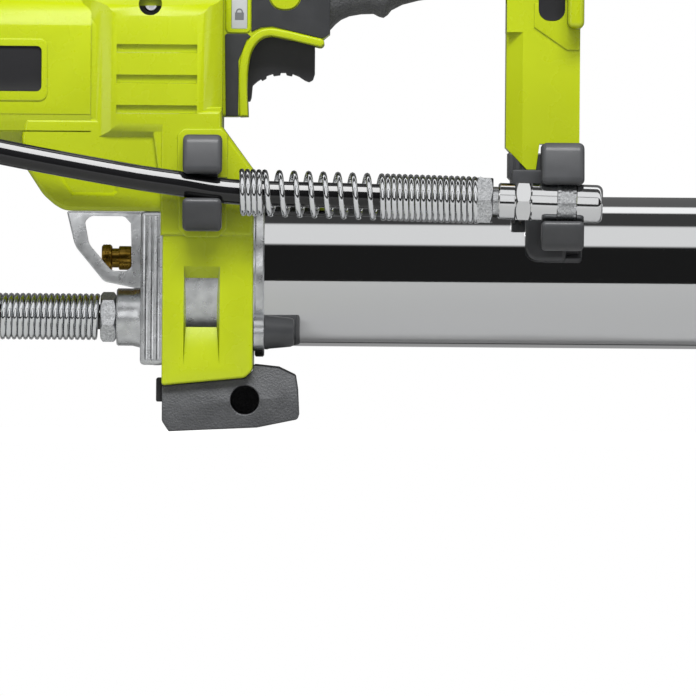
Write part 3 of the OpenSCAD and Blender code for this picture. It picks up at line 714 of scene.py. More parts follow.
def casingCutters():
    half = casing["halfSection"]
    z0 = casing["motorZ"]
    hollow = [(y * 0.9, z0 + (z - z0) * 0.9) for y, z in half]
    hollow = [(1.0, hollow[0][1])] + hollow[1:-1] + [(1.0, hollow[-1][1])]
    # window through the strap: wide at the face, with a long sloping sill
    window = bmesh.new()
    bmesh.ops.create_cube(window, size=1.0)
    outer = {"x": (-30.6, -16.6), "z": (-38.6, 2.6), "y": -36.0}
    back = {"x": (-29.7, -17.9), "z": (-21.8, -5.4), "y": -29.6}
    for v in window.verts:
        place = outer if v.co.y < 0 else back
        v.co = (place["x"][v.co.x > 0], place["y"], place["z"][v.co.z > 0])
    deep = next(f for f in window.faces if f.calc_center_median().y > -29.7)
    pushed = bmesh.ops.extrude_discrete_faces(window, faces=[deep])["faces"]
    bmesh.ops.translate(window, verts=pushed[0].verts, vec=(0, 14, 0))
    bmesh.ops.recalc_face_normals(window, faces=window.faces)
    return {
        "half": block((-250, 0, -150), (250, 30, 250)),
        "hollow": prism(hollow, "X", -150, -19.4),
        "gears": block((-60, -31, 25), (-19.4, 1, 98)),
        "chamber": turned([(-36, 0), (-36, 31.6), (-2, 31.6), (-2, 0)], steps=96),
        "back": block((-48, -24.4, -36.4), (-34, 1, 21.9)),
        "chinRoom": block((-72, -30.5, 25.1), (-38, 1, 60)),
        "handle": prism(
            [(-17, 97), (-3, 97), (2, 95), (21, 91), (21, 130.8), (16, 130.3), (3, 125.3), (-17, 107)], "Y", -15, 1,
        ),
        "gripRoom": block((16, -11.6, 111.5), (95, 1, 127)),
        "postRoom": prism([(94.7, 51.5), (101, 46), (101.6, 52), (116.7, 52), (116.7, 98), (94.7, 98)], "Y", -17, 1),
        "socket": block((86, -15, 102.6), (140, 1, 138)),
        "trigger": block((-6.8, -8.8, 50), (20.6, 1, 104)),
        "lockHole": turned([(-60, 0), (-60, 4.8), (1, 4.8), (1, 0)], "Y", (-3, 0, 112), 40),
        "window": window,
    }


def panelCutters():
    shapes = {}
    for i, z in enumerate((60.45, 72.0, 83.55)):
        groove = block((-56.6, -40, z - 1.95), (-26.0, -34.6, z + 1.95))
        # the lower wall of each groove leans back and catches the light
        for v in groove.verts:
            if v.co.y > -36 and v.co.z < z:
                v.co.z += 0.9
        shapes["groove%d" % i] = groove
    shapes["plate"] = prism([(-133, 67.3), (-85.1, 67.3), (-85.1, 84.6), (-133, 84.6)], "Y", -50, -32.2, corners={1: 2, 2: 2})
    shapes["badge"] = prism([(103.7, 95.8), (113.9, 95.8), (113.9, 124), (103.7, 124)], "Y", -30, -19.3, corners=4.4)
    shapes["icon"] = prism([(-13.4, 91.9), (-7.2, 91.9), (-7.2, 106), (-13.4, 106)], "Y", -30, -17.1, corners=0.8)
    shapes["screw"] = turned([(-60, 0), (-60, 4.4), (-23.2, 4.4), (-23.2, 0)], "Y", (-44, 0, 100.9), 48)
    shapes["pocket"] = prism(
        [(-73.4, 27.9), (-57.6, 27.9), (-55.7, 29.4), (-55.7, 37.5), (-80.3, 37.5)], "Y", -50, -31.4,
        rim=1.2, rimSteps=1, bothRims=True,
    )
    shapes["postEdge"] = prism([(88, -25), (98.4, -25), (98.4, -20.4), (91.4, -14.8), (88, -14.8)], "Z", 30, 91.5)
    shapes["lineLow"] = block((-146, -50, 52.0), (-66.3, -30.6, 52.5))
    return shapes


def raisedPanels():
    frameRim = prism([(-134, 63.5), (-82.8, 63.5), (-82.8, 87.6), (-134, 87.6)], "Y", -33.9, -30, corners={1: 3.2, 2: 3.2}, rim=0.7)
    motorFace = prism([(-146, 58.7), (-66.4, 58.7), (-66.4, 92.6), (-146, 92.6)], "Y", -33.35, -30, rim=0.3, rimSteps=2)
    iconRim = prism([(-15.6, 90.4), (-5.9, 90.4), (-5.9, 108), (-15.6, 108)], "Y", -18.3, -10, corners={0: 2, 1: 2}, rim=0.5)
    upperClip = prism(
        [(-33.2, 35), (-14.2, 35), (-14.2, 51.2), (-16.6, 53.6), (-30.8, 53.6), (-33.2, 51.2)], "Y", -37.4, -30, rim=0.5,
    )
    lowerClip = prism(
        [(-32.6, 15.4), (-29.6, 12.4), (-17.4, 12.4), (-14.4, 15.4), (-14.4, 28), (-32.6, 28)], "Y", -37.4, -30, rim=0.5,
    )
    lip = prism(bandOutline(casing["lip"], 1.6), "Y", -19.1, -12, rim=0.9, rimSteps=4)
    tip = prism([(1.3, 99.5), (12.8, 99.5), (12.8, 126), (1.3, 126)], "Y", -18.8, -12, corners={0: 5.0, 1: 5.0}, rim=0.5)
    postFacet = prism([(102.1, 93.4), (114.7, 84.8), (119.4, 84.8), (119.4, 102.6), (102.1, 102.6)], "Y", -20.7, -15, rim=0.3)
    return [frameRim, motorFace, iconRim, upperClip, lowerClip, lip, tip, postFacet]


def makeCasing():
    near = halfCasingOutside()
    combine(near, raisedPanels(), "UNION")
    cutters = casingCutters()
    cutters.update(panelCutters())
    combine(near, list(cutters.values()), "DIFFERENCE")
    far = rawObject(mirrorSide(meshCopy(near)), "far")
    finishPiece(near, "housing_near_shell", "lime", replaces=["housing_near"], soft=0.45)
    finishPiece(far, "housing_far_shell", "lime", replaces=["housing_far"], soft=0.45)


makeCasing()
print("casing made")


# ---------- handle ----------
def superEllipse(x, middleZ, halfY, halfZ, power=0.72, count=40):
    bm = bmesh.new()
    ring = bmesh.ops.create_circle(bm, cap_ends=False, radius=1.0, segments=count)["verts"]
    for v in ring:
        c, s = v.co.x, v.co.y
        v.co = (
            x,
            math.copysign(abs(c) ** power, c) * halfY,
            middleZ + math.copysign(abs(s) ** power, s) * halfZ,
        )
    return bm


def loftStations(stations):
    # skin through rings standing one behind the other along X, with closed ends
    whole = bmesh.new()
    rings = []
    for x, low, high, halfY in stations:
        mesh = bpy.data.meshes.new("ring")
        ring = superEllipse(x, (low + high) / 2, halfY, (high - low) / 2)
        ring.to_mesh(mesh)
        ring.free()
        before = len(whole.edges)
        whole.from_mesh(mesh)
        bpy.data.meshes.remove(mesh)
        whole.edges.ensure_lookup_table()
        rings.append(whole.edges[before:])
    for a, b in zip(rings, rings[1:]):
        bmesh.ops.bridge_loops(whole, edges=list(a) + list(b))
    bmesh.ops.holes_fill(whole, edges=[e for e in whole.edges if e.is_boundary], sides=0)
    bmesh.ops.recalc_face_normals(whole, faces=whole.faces)
    return whole


gripStations = [  # place along the handle, underside, top, half width
    (24.22, 91.9, 134, 17.6), (26.5, 94.4, 134.1, 17.9), (28.5, 96, 134.2, 18), (31.6, 97.4, 134.3, 18),
    (36, 98.2, 134.4, 18), (40.8, 98.4, 134.4, 17.8), (43, 97.3, 134.3, 17.6), (44.7, 96.9, 134.2, 17.5),
    (46.3, 98, 134.1, 17.4), (47.7, 99.8, 134, 17.4), (51.9, 102, 133.8, 17.2), (58, 103.6, 133.4, 17.2),
    (65.7, 104.8, 133, 17.4), (75, 105.1, 133, 17.8), (84, 105.1, 133.2, 18), (91.6, 105, 133.6, 18),
]


def makeHandle():
    cover = loftStations(gripStations)
    whole = rawObject(cover, "cover")
    core = prism(
        [(19.9, 101.4), (40, 103.4), (95.1, 109.9), (95.1, 129.6), (19.9, 129.6)], "Y", -14.45, 14.45, corners=4, rim=2.7, bothRims=True,
    )
    combine(whole, [core], "DIFFERENCE")
    far = rawObject(meshCopy(whole), "cover")
    combine(whole, [block((0, 0, 60), (120, 40, 180))], "DIFFERENCE")
    combine(far, [block((0, -40, 60), (120, 0, 180))], "DIFFERENCE")
    combine(whole, [turned([(-40, 0), (-40, 4.3), (0, 4.3), (0, 0)], "Y", (x, 0, z), 32) for x, z in ((38, 117), (74, 119))], "DIFFERENCE")
    finishPiece(whole, "grip_near_cover", "gripOvermould", replaces=["grip_near"], soft=0.3, sharp=50)
    finishPiece(far, "grip_far_cover", "gripOvermould", replaces=["grip_far"], soft=0.3, sharp=50)


def makeFrontOvermould():
    # smooth soft skin round the trigger end of the handle, on both sides
    skin = rawObject(prism(
        [
            (-5.7, 90.9), (-2, 92.6), (2.3, 93.0), (21.8, 88.4), (24.3, 90.5), (24.3, 133.6), (16, 133.2), (2, 127.7),
            (-5.7, 121.3),
        ],
        "Y", -18.3, -17.2, corners={3: 1.5}, rim=0.5,
    ), "skin")
    tip = prism([(0.9, 99.1), (13.2, 99.1), (13.2, 140), (0.9, 140)], "Y", -30, -10, corners={0: 5.3, 1: 5.3})
    hole = turned([(-30, 0), (-30, 5.6), (-10, 5.6), (-10, 0)], "Y", (-3, 0, 112), 40)
    combine(skin, [tip, hole], "DIFFERENCE")
    front = prism(
        [(-15.2, 58.7), (-10.5, 58.7), (-10.5, 80), (-7.4, 87.9), (-5.8, 89), (-7, 90.1), (-15.8, 90.1)], "Y", -18.3, -17.2,
        corners={6: 1}, rim=0.5,
    )
    near = together(asShape(skin), front)
    mesh = bpy.data.meshes.new("skin")
    near.to_mesh(mesh)
    far = bmesh.new()
    far.from_mesh(mesh)
    bpy.data.meshes.remove(mesh)
    both = rawObject(together(near, mirrorSide(far)), "skin")
    finishPiece(both, "front_overmould", "darkOvermould", soft=0.2)


def makePlates():
    # blank name plates on the motor, blank badges on the post, and the padlock sign by the lock button
    plates = [block((-132.9, -33.0, 67.4), (-85.2, -32.3, 84.5), 0.25, 2), block((-132.9, 32.3, 67.4), (-85.2, 33.0, 84.5), 0.25, 2)]
    finishPiece(rawObject(together(*plates), "plates"), "name_plates_blank", "label", replaces=["name_plates"], sharp=40)
    badge = [(103.8, 95.9), (113.8, 95.9), (113.8, 123.9), (103.8, 123.9)]
    near = prism(badge, "Y", -20.6, -19.4, corners=4.3, rim=0.4)
    far = mirrorSide(prism(badge, "Y", -20.6, -19.4, corners=4.3, rim=0.4))
    finishPiece(rawObject(together(near, far), "badges"), "badges_blank", "label", replaces=["badge_plates"], sharp=40)
    plate = block((-13.3, -17.9, 92), (-7.3, -17.2, 105.8), 0.2, 2)
    finishPiece(rawObject(plate, "icon"), "icon_plate_grey", "icon", replaces=["icon_plate"], sharp=40)
    body = block((-12.0, -18.0, 95.4), (-8.6, -17.85, 98.2), 0)
    shackle = rawObject(turned([(-18.0, 0.85), (-18.0, 1.35), (-17.85, 1.35), (-17.85, 0.85), (-18.0, 0.85)], "Y", (-10.3, 0, 98.4), 32), "shackle")
    combine(shackle, [block((-14, -19, 94), (-6, -17, 98.1))], "DIFFERENCE")
    finishPiece(rawObject(together(body, asShape(shackle)), "padlock"), "padlock_sign", "iconLine", sharp=40)


def starRecess(depth, radius):
    points = []
    for i in range(12):
        r = radius if i % 2 == 0 else radius * 0.62
        points.append((r * math.cos(math.tau * i / 12), r * math.sin(math.tau * i / 12)))
    return prism(points, "Y", -depth, 1)


def casingScrew(x, z, seat, tip, headRadius, side=1):
    head = rawObject(turned([
        (-seat - 2.4, 0), (-seat - 2.4, headRadius - 0.5), (-seat - 1.9, headRadius), (-seat, headRadius), (-seat, 2),
        (-tip, 2), (-tip, 0),
    ], "Y", steps=40), "screw")
    star = shift(starRecess(1.6, 1.5), 0, -seat - 0.9)
    combine(head, [star], "DIFFERENCE")
    shape = shift(asShape(head), x, 0, z)
    return mirrorSide(shape) if side < 0 else shape


def makeCasingScrews():
    screws = [casingScrew(x, z, seat, -10, 4) for x, z, seat in ((-122, 102, 17), (-122, 49, 17), (38, 117, 13), (74, 119, 13))]
    for side in (1, -1):
        screws.append(casingScrew(-44, 100.9, 18, 8, 2.7, side))
    finishPiece(rawObject(together(*screws), "screws"), "housing_screws_star", "screw", replaces=["housing_screws"], sharp=40)
    # dark rings set behind the two front screw heads are painted shade: they stand in for the dark depth of the open
    # screw holes
    rings = []
    for side in (1, -1):
        ring = turned([(-22.9, 2.8), (-22.9, 4.0), (-22.5, 4.35), (-18, 4.35), (-18, 2.8), (-22.9, 2.8)], "Y", (-44, 0, 100.9), 40)
        rings.append(mirrorSide(ring) if side < 0 else ring)
    finishPiece(rawObject(together(*rings), "rings"), "screw_hole_shade_rings", "seal", sharp=40)


def makeTrigger():
    outline = [
        (-7.4, 64.5), (-6.1, 64.5), (-5.6, 66), (-5.2, 70.6), (-3.4, 72.2), (-1.9, 73.2), (-1.7, 72.4), (0.1, 73.4), (0, 74.3), (2.6, 75.2),
        (2.7, 74.3), (5.4, 74.7), (5.4, 75.6), (7.6, 75.6), (7.7, 74.7), (9.9, 74.3), (10, 75.2), (12.5, 74.2), (14.8, 72.7),
        (16.4, 72.1), (17.9, 72.9), (18.6, 75.2), (18.6, 84), (18.4, 89), (-4, 89), (-7.4, 84),
    ]
    body = rawObject(prism(outline, "Y", -8.3, 8.3), "trigger")
    combine(body, [turned([(86, 0), (86, 3.3), (92, 3.3), (92, 0)], "Z", (8, 0, 0), 32)], "DIFFERENCE")
    finishPiece(body, "trigger_moulded", "trigger", "trigger_lever", ["trigger"], soft=0.5)
    button = turned([(-21.5, 0), (-21.5, 3.6), (-20.6, 4.5), (15.6, 4.5), (16.5, 3.6), (16.5, 0)], "Y", (-3, 0, 112), 48)
    finishPiece(rawObject(button, "lock"), "lock_button_round", "trigger", "lock_slider", ["lock_button"], sharp=40)


def makeEndCap():
    half = casing["halfSection"][1:-1]
    rim = [(y * 0.985, z) for y, z in half]
    outline = rim + [(-y, z) for y, z in reversed(rim)]
    plate = rawObject(prism(outline, "X", -149, -144.05, rim=2.2, rimSteps=4), "endCap")
    z0 = casing["motorZ"]
    inner = [(y * 0.88, z0 + (z - z0) * 0.88) for y, z in half]
    plug = prism(inner + [(-y, z) for y, z in reversed(inner)], "X", -146, -140)
    combine(plate, [plug], "UNION")
    slots = [block((-160, -14, z0 + dz - 1.2), (-130, 14, z0 + dz + 1.2), 0.8, 3) for dz in (-15, -9, -3, 3, 9, 15)]
    combine(plate, slots, "DIFFERENCE")
    finishPiece(plate, "end_cap_vented", "lime", replaces=["end_cap"], soft=0.4)


makeHandle()
makeFrontOvermould()
makePlates()
makeCasingScrews()
makeTrigger()
makeEndCap()
print("handle, plates and trigger made")


# ---------- clips and foot ----------
def lineTube(x0, length, radius):
    return onLine(turned([(0, 0), (0, radius), (length, radius), (length, 0)], steps=48), x0)


def hook(x0, x1, rear, low, high, over):
    # one jaw of a clip: its face leans back away from the hose
    face = [(-54, low), (-48.6, high)] if over else [(-49.2, low), (-54, high)]
    return prism([(rear, low), face[0], face[1], (rear, high)], "X", x0, x1, corners={1: 3.4, 2: 3.4}, rim=3.2, rimSteps=5, bothRims=True)


def makeClips():
    front = rawObject(hook(-31, -16.2, -37.5, 36.4, 51.3, True), "clip")
    lower = hook(-31, -16.2, -37.5, 14.7, 27.3, False)
    back = block((-29.4, -43.5, 17.5), (-17.8, -36.6, 48.4), 0.6, 2)
    combine(front, [lower, back], "UNION")
    channel = turned([(-22, 0), (-22, 5.5), (22, 5.5), (22, 0)], steps=48)
    turn(channel, "Y", 5)
    shift(channel, -23.6, -46, 31.5)
    combine(front, [channel], "DIFFERENCE")
    finishPiece(front, "front_clip_moulded", "clipOvermould", replaces=["front_clip"], soft=0.5, softSteps=3)

    rear = rawObject(prism([(92.7, 36.2), (94.7, 34.2), (98, 30), (105.4, 30), (105.4, 45.4), (92.7, 45.4)], "Y", -19.4, 19.4, rim=0.8, bothRims=True), "clip")
    upper = hook(104.9, 121.1, -20, 33.2, 49.2, True)
    lower = hook(104.9, 121.1, -36, 8.3, 19.6, False)
    back = block((106.4, -38.4, 11.2), (119.6, -31, 46.2), 0.8, 2)
    cross = block((94, -31.5, 28), (119, 31.5, 39), 0.8, 2)
    saddle = prism([(99.2, 7.5), (102.2, 4.5), (113.6, 4.5), (114.6, 5.5), (114.6, 30), (99.2, 30)], "Y", -32.5, 32.5, corners={0: 2, 1: 2}, rim=1.5, bothRims=True)
    combine(rear, [upper, lower, back, cross, saddle], "UNION")
    barrelRoom = turned([(80, 0), (80, 29.4), (130, 29.4), (130, 0)], steps=96)
    postRoom = prism([(91.6, 47.4), (99.6, 39.1), (103.3, 39.1), (104.6, 48.9), (119.8, 48.9), (119.8, 60), (91.6, 60)], "Y", -20.1, 20.1)
    ribs = [block((x, -24, 26), (x + 0.9, -18.7, 46.5)) for x in (94.6, 97.0, 99.4, 101.8)]
    combine(rear, [barrelRoom, postRoom, lineTube(98, 32, 7.5)] + ribs, "DIFFERENCE")
    finishPiece(rear, "rear_clip_moulded", "clipOvermould", replaces=["rear_clip"], soft=0.5, softSteps=3)


foot = {
    "outline": [
        (-38.5, -57.5), (-35.9, -61.5), (-2.3, -59.8), (13, -56.6), (13.5, -55.5), (13, -45.9), (12.1, -40.3), (5.6, -37.2),
        (-4, -36.2), (-4, -38.1), (-7, -41.1), (-36.2, -44.1), (-38.5, -44.1),
    ],
    "half": 34.0,
    "hole": (-7, -49.4, 5.5),
    "web": 4.0,
}


def makeFoot():
    shape = prism(foot["outline"], "Y", -foot["half"], foot["half"])
    # each side leans in above and below a ridge
    spot, up = Vector((0, 0, -48.9)), Vector((-0.0865, 0, 1)).normalized()
    bmesh.ops.bisect_plane(shape, geom=list(shape.verts) + list(shape.edges) + list(shape.faces), plane_co=spot, plane_no=up)
    for v in shape.verts:
        above = (v.co - spot).dot(up)
        v.co.y -= math.copysign(above * 0.34 if above > 0 else -above * 0.16, v.co.y)
    body = rawObject(shape, "foot")
    x, z, r = foot["hole"]
    web = foot["web"] / 2
    cuts = [turned([(side * 50, 0), (side * 50, r), (side * web, r), (side * web, 0)], "Y", (x, 0, z), 64) for side in (-1, 1)]
    for sx in (-31, -20):
        cuts.append(turned([(-70, 0), (-70, 4.3), (-57, 4.3), (-57, 2.05), (-30, 2.05), (-30, 0)], "Z", (sx, 0, 0), 32))
    combine(body, cuts, "DIFFERENCE")
    finishPiece(body, "foot_moulded", "footOvermould", replaces=["foot"], soft=0.6, softSteps=3)
    tab = block((-41.2, -9, -50.6), (-38.3, 9, -41.5), 0.6, 2)
    finishPiece(rawObject(tab, "tab"), "foot_tab_moulded", "trigger", replaces=["foot_tab"], sharp=40)


makeClips()
makeFoot()
print("clips and foot made")


# ---------- pump head ----------
head = {"outletZ": -18.4, "bleed": (3, 4.2), "filler": (-27.5, -23.5), "pumpX": -24.5}


def makePumpHead():
    body = rawObject(turned([(-36, 0), (-36, 30.2), (-35.2, 31), (-3.6, 31), (-3.6, 32.7), (-3.1, 33.2), (-0.5, 33.2), (0, 32.7), (0, 0)], steps=128), "head")
    y, z = head["filler"]
    back = block((-47.2, -24, -36.4), (-34, 24, 22), 1.6, 3)
    boss = turned([
        (-56.6, 0), (-56.6, 10.4), (-56, 11), (-50.5, 11), (-47.6, 11.7), (-45.3, 13.4), (-43.6, 15.6), (-42.3, 18.4), (-40, 18.4), (-40, 0),
    ], at=(0, 0, head["outletZ"]), steps=72)
    bleedBoss = turned([(-51, 0), (-51, 5.6), (-50.6, 6), (-40, 6), (-40, 0)], at=(0, *head["bleed"]), steps=40)
    filler = turned([(-3.8, 0), (-3.8, 7.2), (-0.1, 7.2), (-0.1, 0)], at=(0, y, z), steps=40)
    neck = turned([(20, 0), (20, 11), (44.2, 11), (45, 10.2), (45, 0)], "Z", (head["pumpX"], 0, 0), 48)
    combine(body, [back, boss, bleedBoss, filler, neck], "UNION")
    loop = rawObject(prism(
        [(-57.2, -5.6), (-50, -7.1), (-46.4, -7.1), (-46.4, 21.9), (-75.7, 21.9), (-72.5, 8.7), (-61.3, -4.8)], "Y", -13, -6,
        corners={4: 0.8, 5: 2, 6: 1.2}, rim=0.8, bothRims=True,
    ), "loop")
    eye = prism(
        [(-58.4, -0.7), (-52.5, -0.7), (-50.7, 1.1), (-51.2, 17.5), (-53.7, 20.2), (-66.6, 20.2), (-68.9, 18.1), (-67.2, 9.3)],
        "Y", -20, 0, corners={0: 1.2, 1: 1, 4: 1, 5: 1, 6: 1, 7: 1.5},
    )
    combine(loop, [eye], "DIFFERENCE")
    combine(body, [asShape(loop)], "UNION")
    cuts = [block((x, -30, -34.5), (x + 1.15, -23.1, 20.6), 0.3, 2) for x in (-45.4, -43.2, -41.0, -38.8)]
    cuts += [
        turned([(-14.2, 0), (-14.2, 29.05), (3, 29.05), (3, 0)], steps=128),
        turned([(-22, 0), (-22, 4.05), (60, 4.05), (60, 0)], "Z", (head["pumpX"], 0, 0), 40),
        turned([(head["pumpX"], 0), (head["pumpX"], 2.5), (1, 2.5), (1, 0)], at=(0, 0, -6), steps=24),
        turned([(-70, 0), (-70, 4.5), (-32, 4.5), (-32, 2.5), (head["pumpX"], 2.5), (head["pumpX"], 0)], at=(0, 0, head["outletZ"]), steps=40),
        turned([(-70, 0), (-70, 3.05), (-38, 3.05), (-38, 0)], at=(0, *head["bleed"]), steps=32),
        turned([(-30, 0), (-30, 2), (3, 2), (3, 0)], at=(0, y, z), steps=24),
    ]
    combine(body, cuts, "DIFFERENCE")
    finishPiece(body, "pump_head_cast", "cast", replaces=["pump_head"], soft=0.4)


def makeBleedValve():
    y, z = head["bleed"]
    knob = knurledBand(-62.2, -58.9, 4.9, 0.3, 26)
    cap = turned([(-62.2, 0), (-62.6, 0.01), (-62.6, 4.5), (-62.2, 5.0)], steps=60)
    core = turned([
        (-62.55, 0), (-62.55, 4.4), (-62.1, 4.9), (-58.9, 4.9), (-58.5, 4.4), (-58.5, 3.7), (-56, 3.7), (-56, 4.3), (-55.7, 4.6), (-51.5, 4.6),
        (-51.2, 4.3), (-51.2, 3), (-40, 3), (-40, 0),
    ], steps=60)
    cap.free()
    piece = rawObject(shift(together(knob, core), 0, y, z), "bleed")
    finishPiece(piece, "bleed_valve_knurled", "brass", "bleed_screw", ["bleed_valve"], sharp=40)


def makeFillerCap():
    y, z = head["filler"]
    cap = turned([
        (0.15, 3.3), (0.15, 6.2), (0.5, 6.6), (1.5, 6.6), (2, 6.35), (10.2, 5.55), (11.2, 5.1), (11.6, 4.2), (11.6, 0), (9.1, 0),
        (9.1, 3.3), (0.15, 3.3),
    ], at=(0, y, z), steps=64)
    finishPiece(rawObject(cap, "cap"), "filler_cap_moulded", "clipOvermould", "cap", ["filler_cap"], sharp=35)


makePumpHead()
makeBleedValve()
makeFillerCap()
print("pump head made")


# ---------- barrel, follower and rod ----------
barrel = {"radius": 29.0, "wall": 1.4, "length": 265.0}


def makeBarrel():
    r, inside, end = barrel["radius"], barrel["radius"] - barrel["wall"], barrel["length"]
    tube = turned([(-12, inside), (-12, r), (end, r), (end, inside), (-12, inside)], steps=160)
    finishPiece(rawObject(tube, "barrel"), "barrel_tube_chrome", "chrome", "barrel", ["barrel_tube"], sharp=40)
    cap = turned([
        (end - 14, r + 0.05), (end - 14, r + 1.6), (end - 13, r + 2.5), (end + 3, r + 2.5), (end + 4.2, r + 1.9), (end + 5, r + 0.6),
        (end + 5, 3.55), (end, 3.55), (end, r + 0.05), (end - 14, r + 0.05),
    ], steps=128)
    finishPiece(rawObject(cap, "cap"), "barrel_cap_rolled", "fitting", "barrel", ["barrel_cap"], sharp=35)
    rod = rawObject(turned([(20, 0), (20, 3), (20.5, 3.5), (end + 14, 3.5), (end + 14, 0)], steps=40), "rod")
    bar = turned([(-30, 0), (-30, 3), (-28.9, 4.1), (28.9, 4.1), (30, 3), (30, 0)], "Y", (end + 15, 0, 0), 40)
    combine(rod, [bar], "UNION")
    finishPiece(rod, "follower_rod_with_handle", "fitting", "rod", ["follower_rod"], sharp=35)


makeBarrel()
print("barrel made")


# ---------- compression springs ----------
springs = [  # name, node, body, coil radius, wire, turns, rest length, axis, fixed end, joint, share of length left
    ("follower_spring_coil", "follower_spring", "barrel", 23.6, 2.4, 22, 224.6, "X", (258, 0, 0), "follower_slide", 0.155),
    ("check_spring_coil", "check_spring", "gun", 2.9, 0.8, 7, 11.0, "X", (-50, 0, -18.4), "check_valve_lift", 0.86),
    ("trigger_spring_coil", "trigger_spring", "gun", 2.5, 0.8, 9, 20.6, "Z", (8, 0, 106.9), "trigger_pull", 0.61),
]


def coil(radius, wire, turns, length):
    # plain round-wire coil along +X from 0
    bm = bmesh.new()
    ring = bmesh.ops.create_circle(bm, cap_ends=False, radius=wire / 2, segments=8)["verts"]
    bmesh.ops.rotate(bm, cent=(0, 0, 0), matrix=Matrix.Rotation(math.radians(90), 3, "X"), verts=ring)
    bmesh.ops.translate(bm, vec=(wire / 2, 0, radius), verts=ring)
    steps = turns * 24
    bmesh.ops.spin(
        bm, geom=list(ring) + list(bm.edges), cent=(0, 0, 0), axis=(1, 0, 0), dvec=((length - wire) / steps, 0, 0),
        angle=math.tau * turns, steps=steps, use_merge=False,
    )
    bmesh.ops.holes_fill(bm, edges=[e for e in bm.edges if e.is_boundary], sides=0)
    bmesh.ops.recalc_face_normals(bm, faces=bm.faces)
    return bm


def makeSprings():
    for name, node, body, radius, wire, turns, length, axis, end, joint, share in springs:
        shape = coil(radius, wire, turns, length)
        if axis == "Z":
            turn(shape, "Y", -90)
            shift(shape, end[0], 0, end[2] - length)
        else:
            shift(shape, end[0] - length if joint == "follower_slide" else end[0], 0, end[2])
        piece = finishPiece(rawObject(shape, name), name, "spring", body, [node], sharp=60)
        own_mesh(piece)


makeSprings()
print("springs made")


# ---------- floor, world and lights ----------
def makeStudio():
    width, depth = studio["floorSize"]
    bm = bmesh.new()
    bmesh.ops.create_grid(bm, x_segments=1, y_segments=1, size=0.5)
    bmesh.ops.scale(bm, vec=(width, depth, 1), verts=bm.verts)
    shift(bm, 0, studio["floorFrontEdge"] + depth / 2, studio["floorHeight"])
    floor = rawObject(bm, "floor")
    floor.data.transform(Matrix.Scale(0.001, 4))
    material, tree, shader, place = startMaterial("pale_floor", "#bdbdbd", 0.0, 0.7)
    shader.inputs["Emission Color"].default_value = (1, 1, 1, 1)
    path = addNode(tree, "ShaderNodeLightPath")
    glow = addNode(tree, "ShaderNodeMapRange", {"To Min": 0.12, "To Max": 1.2}, {"Value": path.outputs["Is Camera Ray"]})
    tree.links.new(glow.outputs["Result"], shader.inputs["Emission Strength"])
    floor.data.materials.append(material)


worldBands = [  # elevation of the light seen from the front, in degrees, and its brightness
    (-180, 0.35), (-146, 0.35), (-144, 0.05), (-117, 0.05), (-115, 0.8), (-19, 0.8), (-16, 0.015), (39, 0.015),
    (42, 0.95), (74, 0.95), (77, 0.06), (103, 0.06), (105, 1.3), (119, 1.3), (122, 0.14), (180, 0.14),
]


def makeWorld():
    world = bpy.data.worlds.new("studio")
    scene.world = world
    world.use_nodes = True
    tree = world.node_tree
    background = tree.nodes["Background"]
    place = addNode(tree, "ShaderNodeTexCoord").outputs["Generated"]
    parts = addNode(tree, "ShaderNodeSeparateXYZ", (), {0: place})
    front = addNode(tree, "ShaderNodeMath", {"operation": "MULTIPLY", 1: -1.0}, {0: parts.outputs["Y"]})
    angle = addNode(tree, "ShaderNodeMath", {"operation": "ARCTAN2"}, {0: parts.outputs["Z"], 1: front.outputs[0]})
    share = addNode(
        tree, "ShaderNodeMapRange", {"From Min": -math.pi, "From Max": math.pi}, {"Value": angle.outputs[0]},
    )
    ramp = addNode(tree, "ShaderNodeValToRGB", (), {"Fac": share.outputs["Result"]})
    elements = ramp.color_ramp.elements
    for degrees, bright in worldBands[1:-1]:
        elements.new((degrees + 180) / 360).color = (bright, bright, bright, 1)
    elements[0].color = (worldBands[0][1],) * 3 + (1,)
    elements[-1].color = (worldBands[-1][1],) * 3 + (1,)
    path = addNode(tree, "ShaderNodeLightPath")
    dull = addNode(tree, "ShaderNodeMix", {"data_type": "RGBA"}, {"Factor": path.outputs["Is Diffuse Ray"]})
    tree.links.new(ramp.outputs["Color"], dull.inputs["A"])
    dull.inputs["B"].default_value = (0.22, 0.22, 0.22, 1)
    white = addNode(tree, "ShaderNodeMix", {"data_type": "RGBA"}, {"Factor": path.outputs["Is Camera Ray"]})
    tree.links.new(dull.outputs["Result"], white.inputs["A"])
    white.inputs["B"].default_value = (1, 1, 1, 1)
    tree.links.new(white.outputs["Result"], background.inputs["Color"])


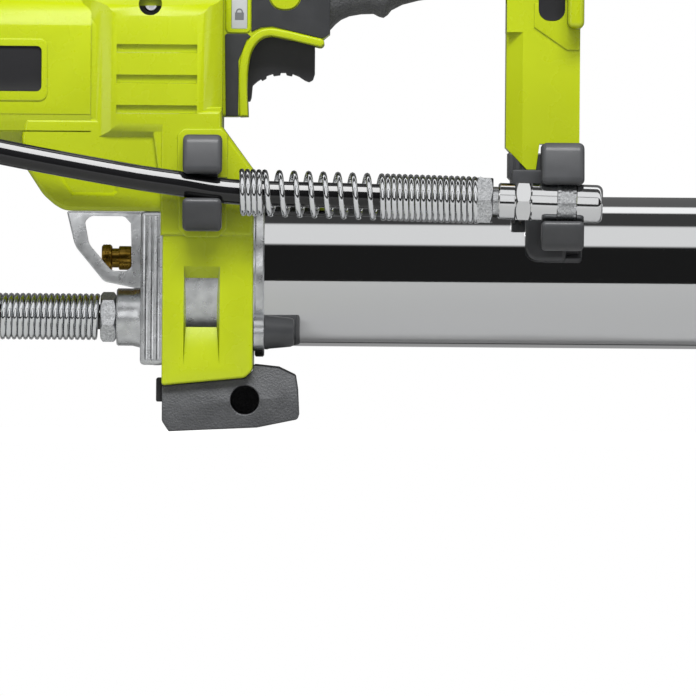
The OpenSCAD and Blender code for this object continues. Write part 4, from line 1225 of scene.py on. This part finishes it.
def addSoftbox(name, place, aim, size, power, seenInGloss, onlyOn=()):
    data = bpy.data.lights.new(name, "AREA")
    data.shape = "RECTANGLE"
    data.size, data.size_y = size
    data.energy = power
    lamp = bpy.data.objects.new(name, data)
    lamp.location = place
    lamp.rotation_euler = (Vector(aim) - Vector(place)).to_track_quat("-Z", "Y").to_euler()
    lamp.visible_glossy = seenInGloss
    scene.collection.objects.link(lamp)
    if onlyOn:
        lit = bpy.data.collections.new(name + "_lights")
        for piece in onlyOn:
            lit.objects.link(bpy.data.objects[piece])
        lamp.light_linking.receiver_collection = lit


makeStudio()
makeWorld()
addSoftbox("front_fill", (-0.2, -2.6, 0.3), (0, 0, 0.02), (2.4, 1.4), 11, False)
addSoftbox("top_key", (0.05, -1.35, 1.75), (0, 0, 0.04), (1.3, 0.5), 50, False)
addSoftbox("floor_bounce", (0, -1.1, -0.75), (0, 0, 0), (1.8, 0.4), 5, False)
fittings = [
    "guard_front_coil", "guard_rear_coil", "hose_nut_front_zinc", "hose_nut_rear_zinc", "coupler_body_plated", "coupler_sleeve_plated",
    "coupler_knurl_band",
]
addSoftbox("fitting_card", (0, -1.6, 0.5), (0, 0, 0.02), (2.4, 1.2), 8, True, fittings)
addSoftbox("casting_card", (-0.6, -1.5, 0.35), (0, 0, 0.02), (1.6, 0.8), 5, True, ["pump_head_cast"])
addSoftbox("hose_strip", (-0.1, -0.62, 1.28), (-0.1, 0, 0.03), (2.4, 1.3), 140, True, ["hose_cover"])
addSoftbox("nacelle_card", (-0.2, -1.45, 1.4), (-0.1, 0, 0.08), (1.8, 0.8), 16, True, ["housing_near_shell"])
addSoftbox("left_card", (-2.4, -1.5, 0.3), (0, 0, 0.05), (0.5, 1.4), 6, True, ["housing_near_shell"])
addSoftbox("right_card", (2.2, -1.5, 0.3), (0, 0, 0.05), (0.5, 1.4), 5, True, ["housing_near_shell"])
addSoftbox("rubber_card", (0, -0.75, 1.7), (0, 0, 0), (1.4, 0.6), 30, True, ["front_clip_moulded", "rear_clip_moulded", "foot_moulded"])
addSoftbox("screw_card", (-0.05, -1.4, 0.25), (0, 0, 0.1), (0.5, 0.3), 1.5, True, ["housing_screws_star"])
for name in fittings[1::2] + ["coupler_body_plated", "coupler_knurl_band", "filler_cap_moulded", "coupler_jaws", "filler_nipple", "hose_cover", "housing_near_shell"]:
    # kept out of the barrel's reflection, as in a retouched product picture
    bpy.data.objects[name].visible_glossy = False
print("studio made")
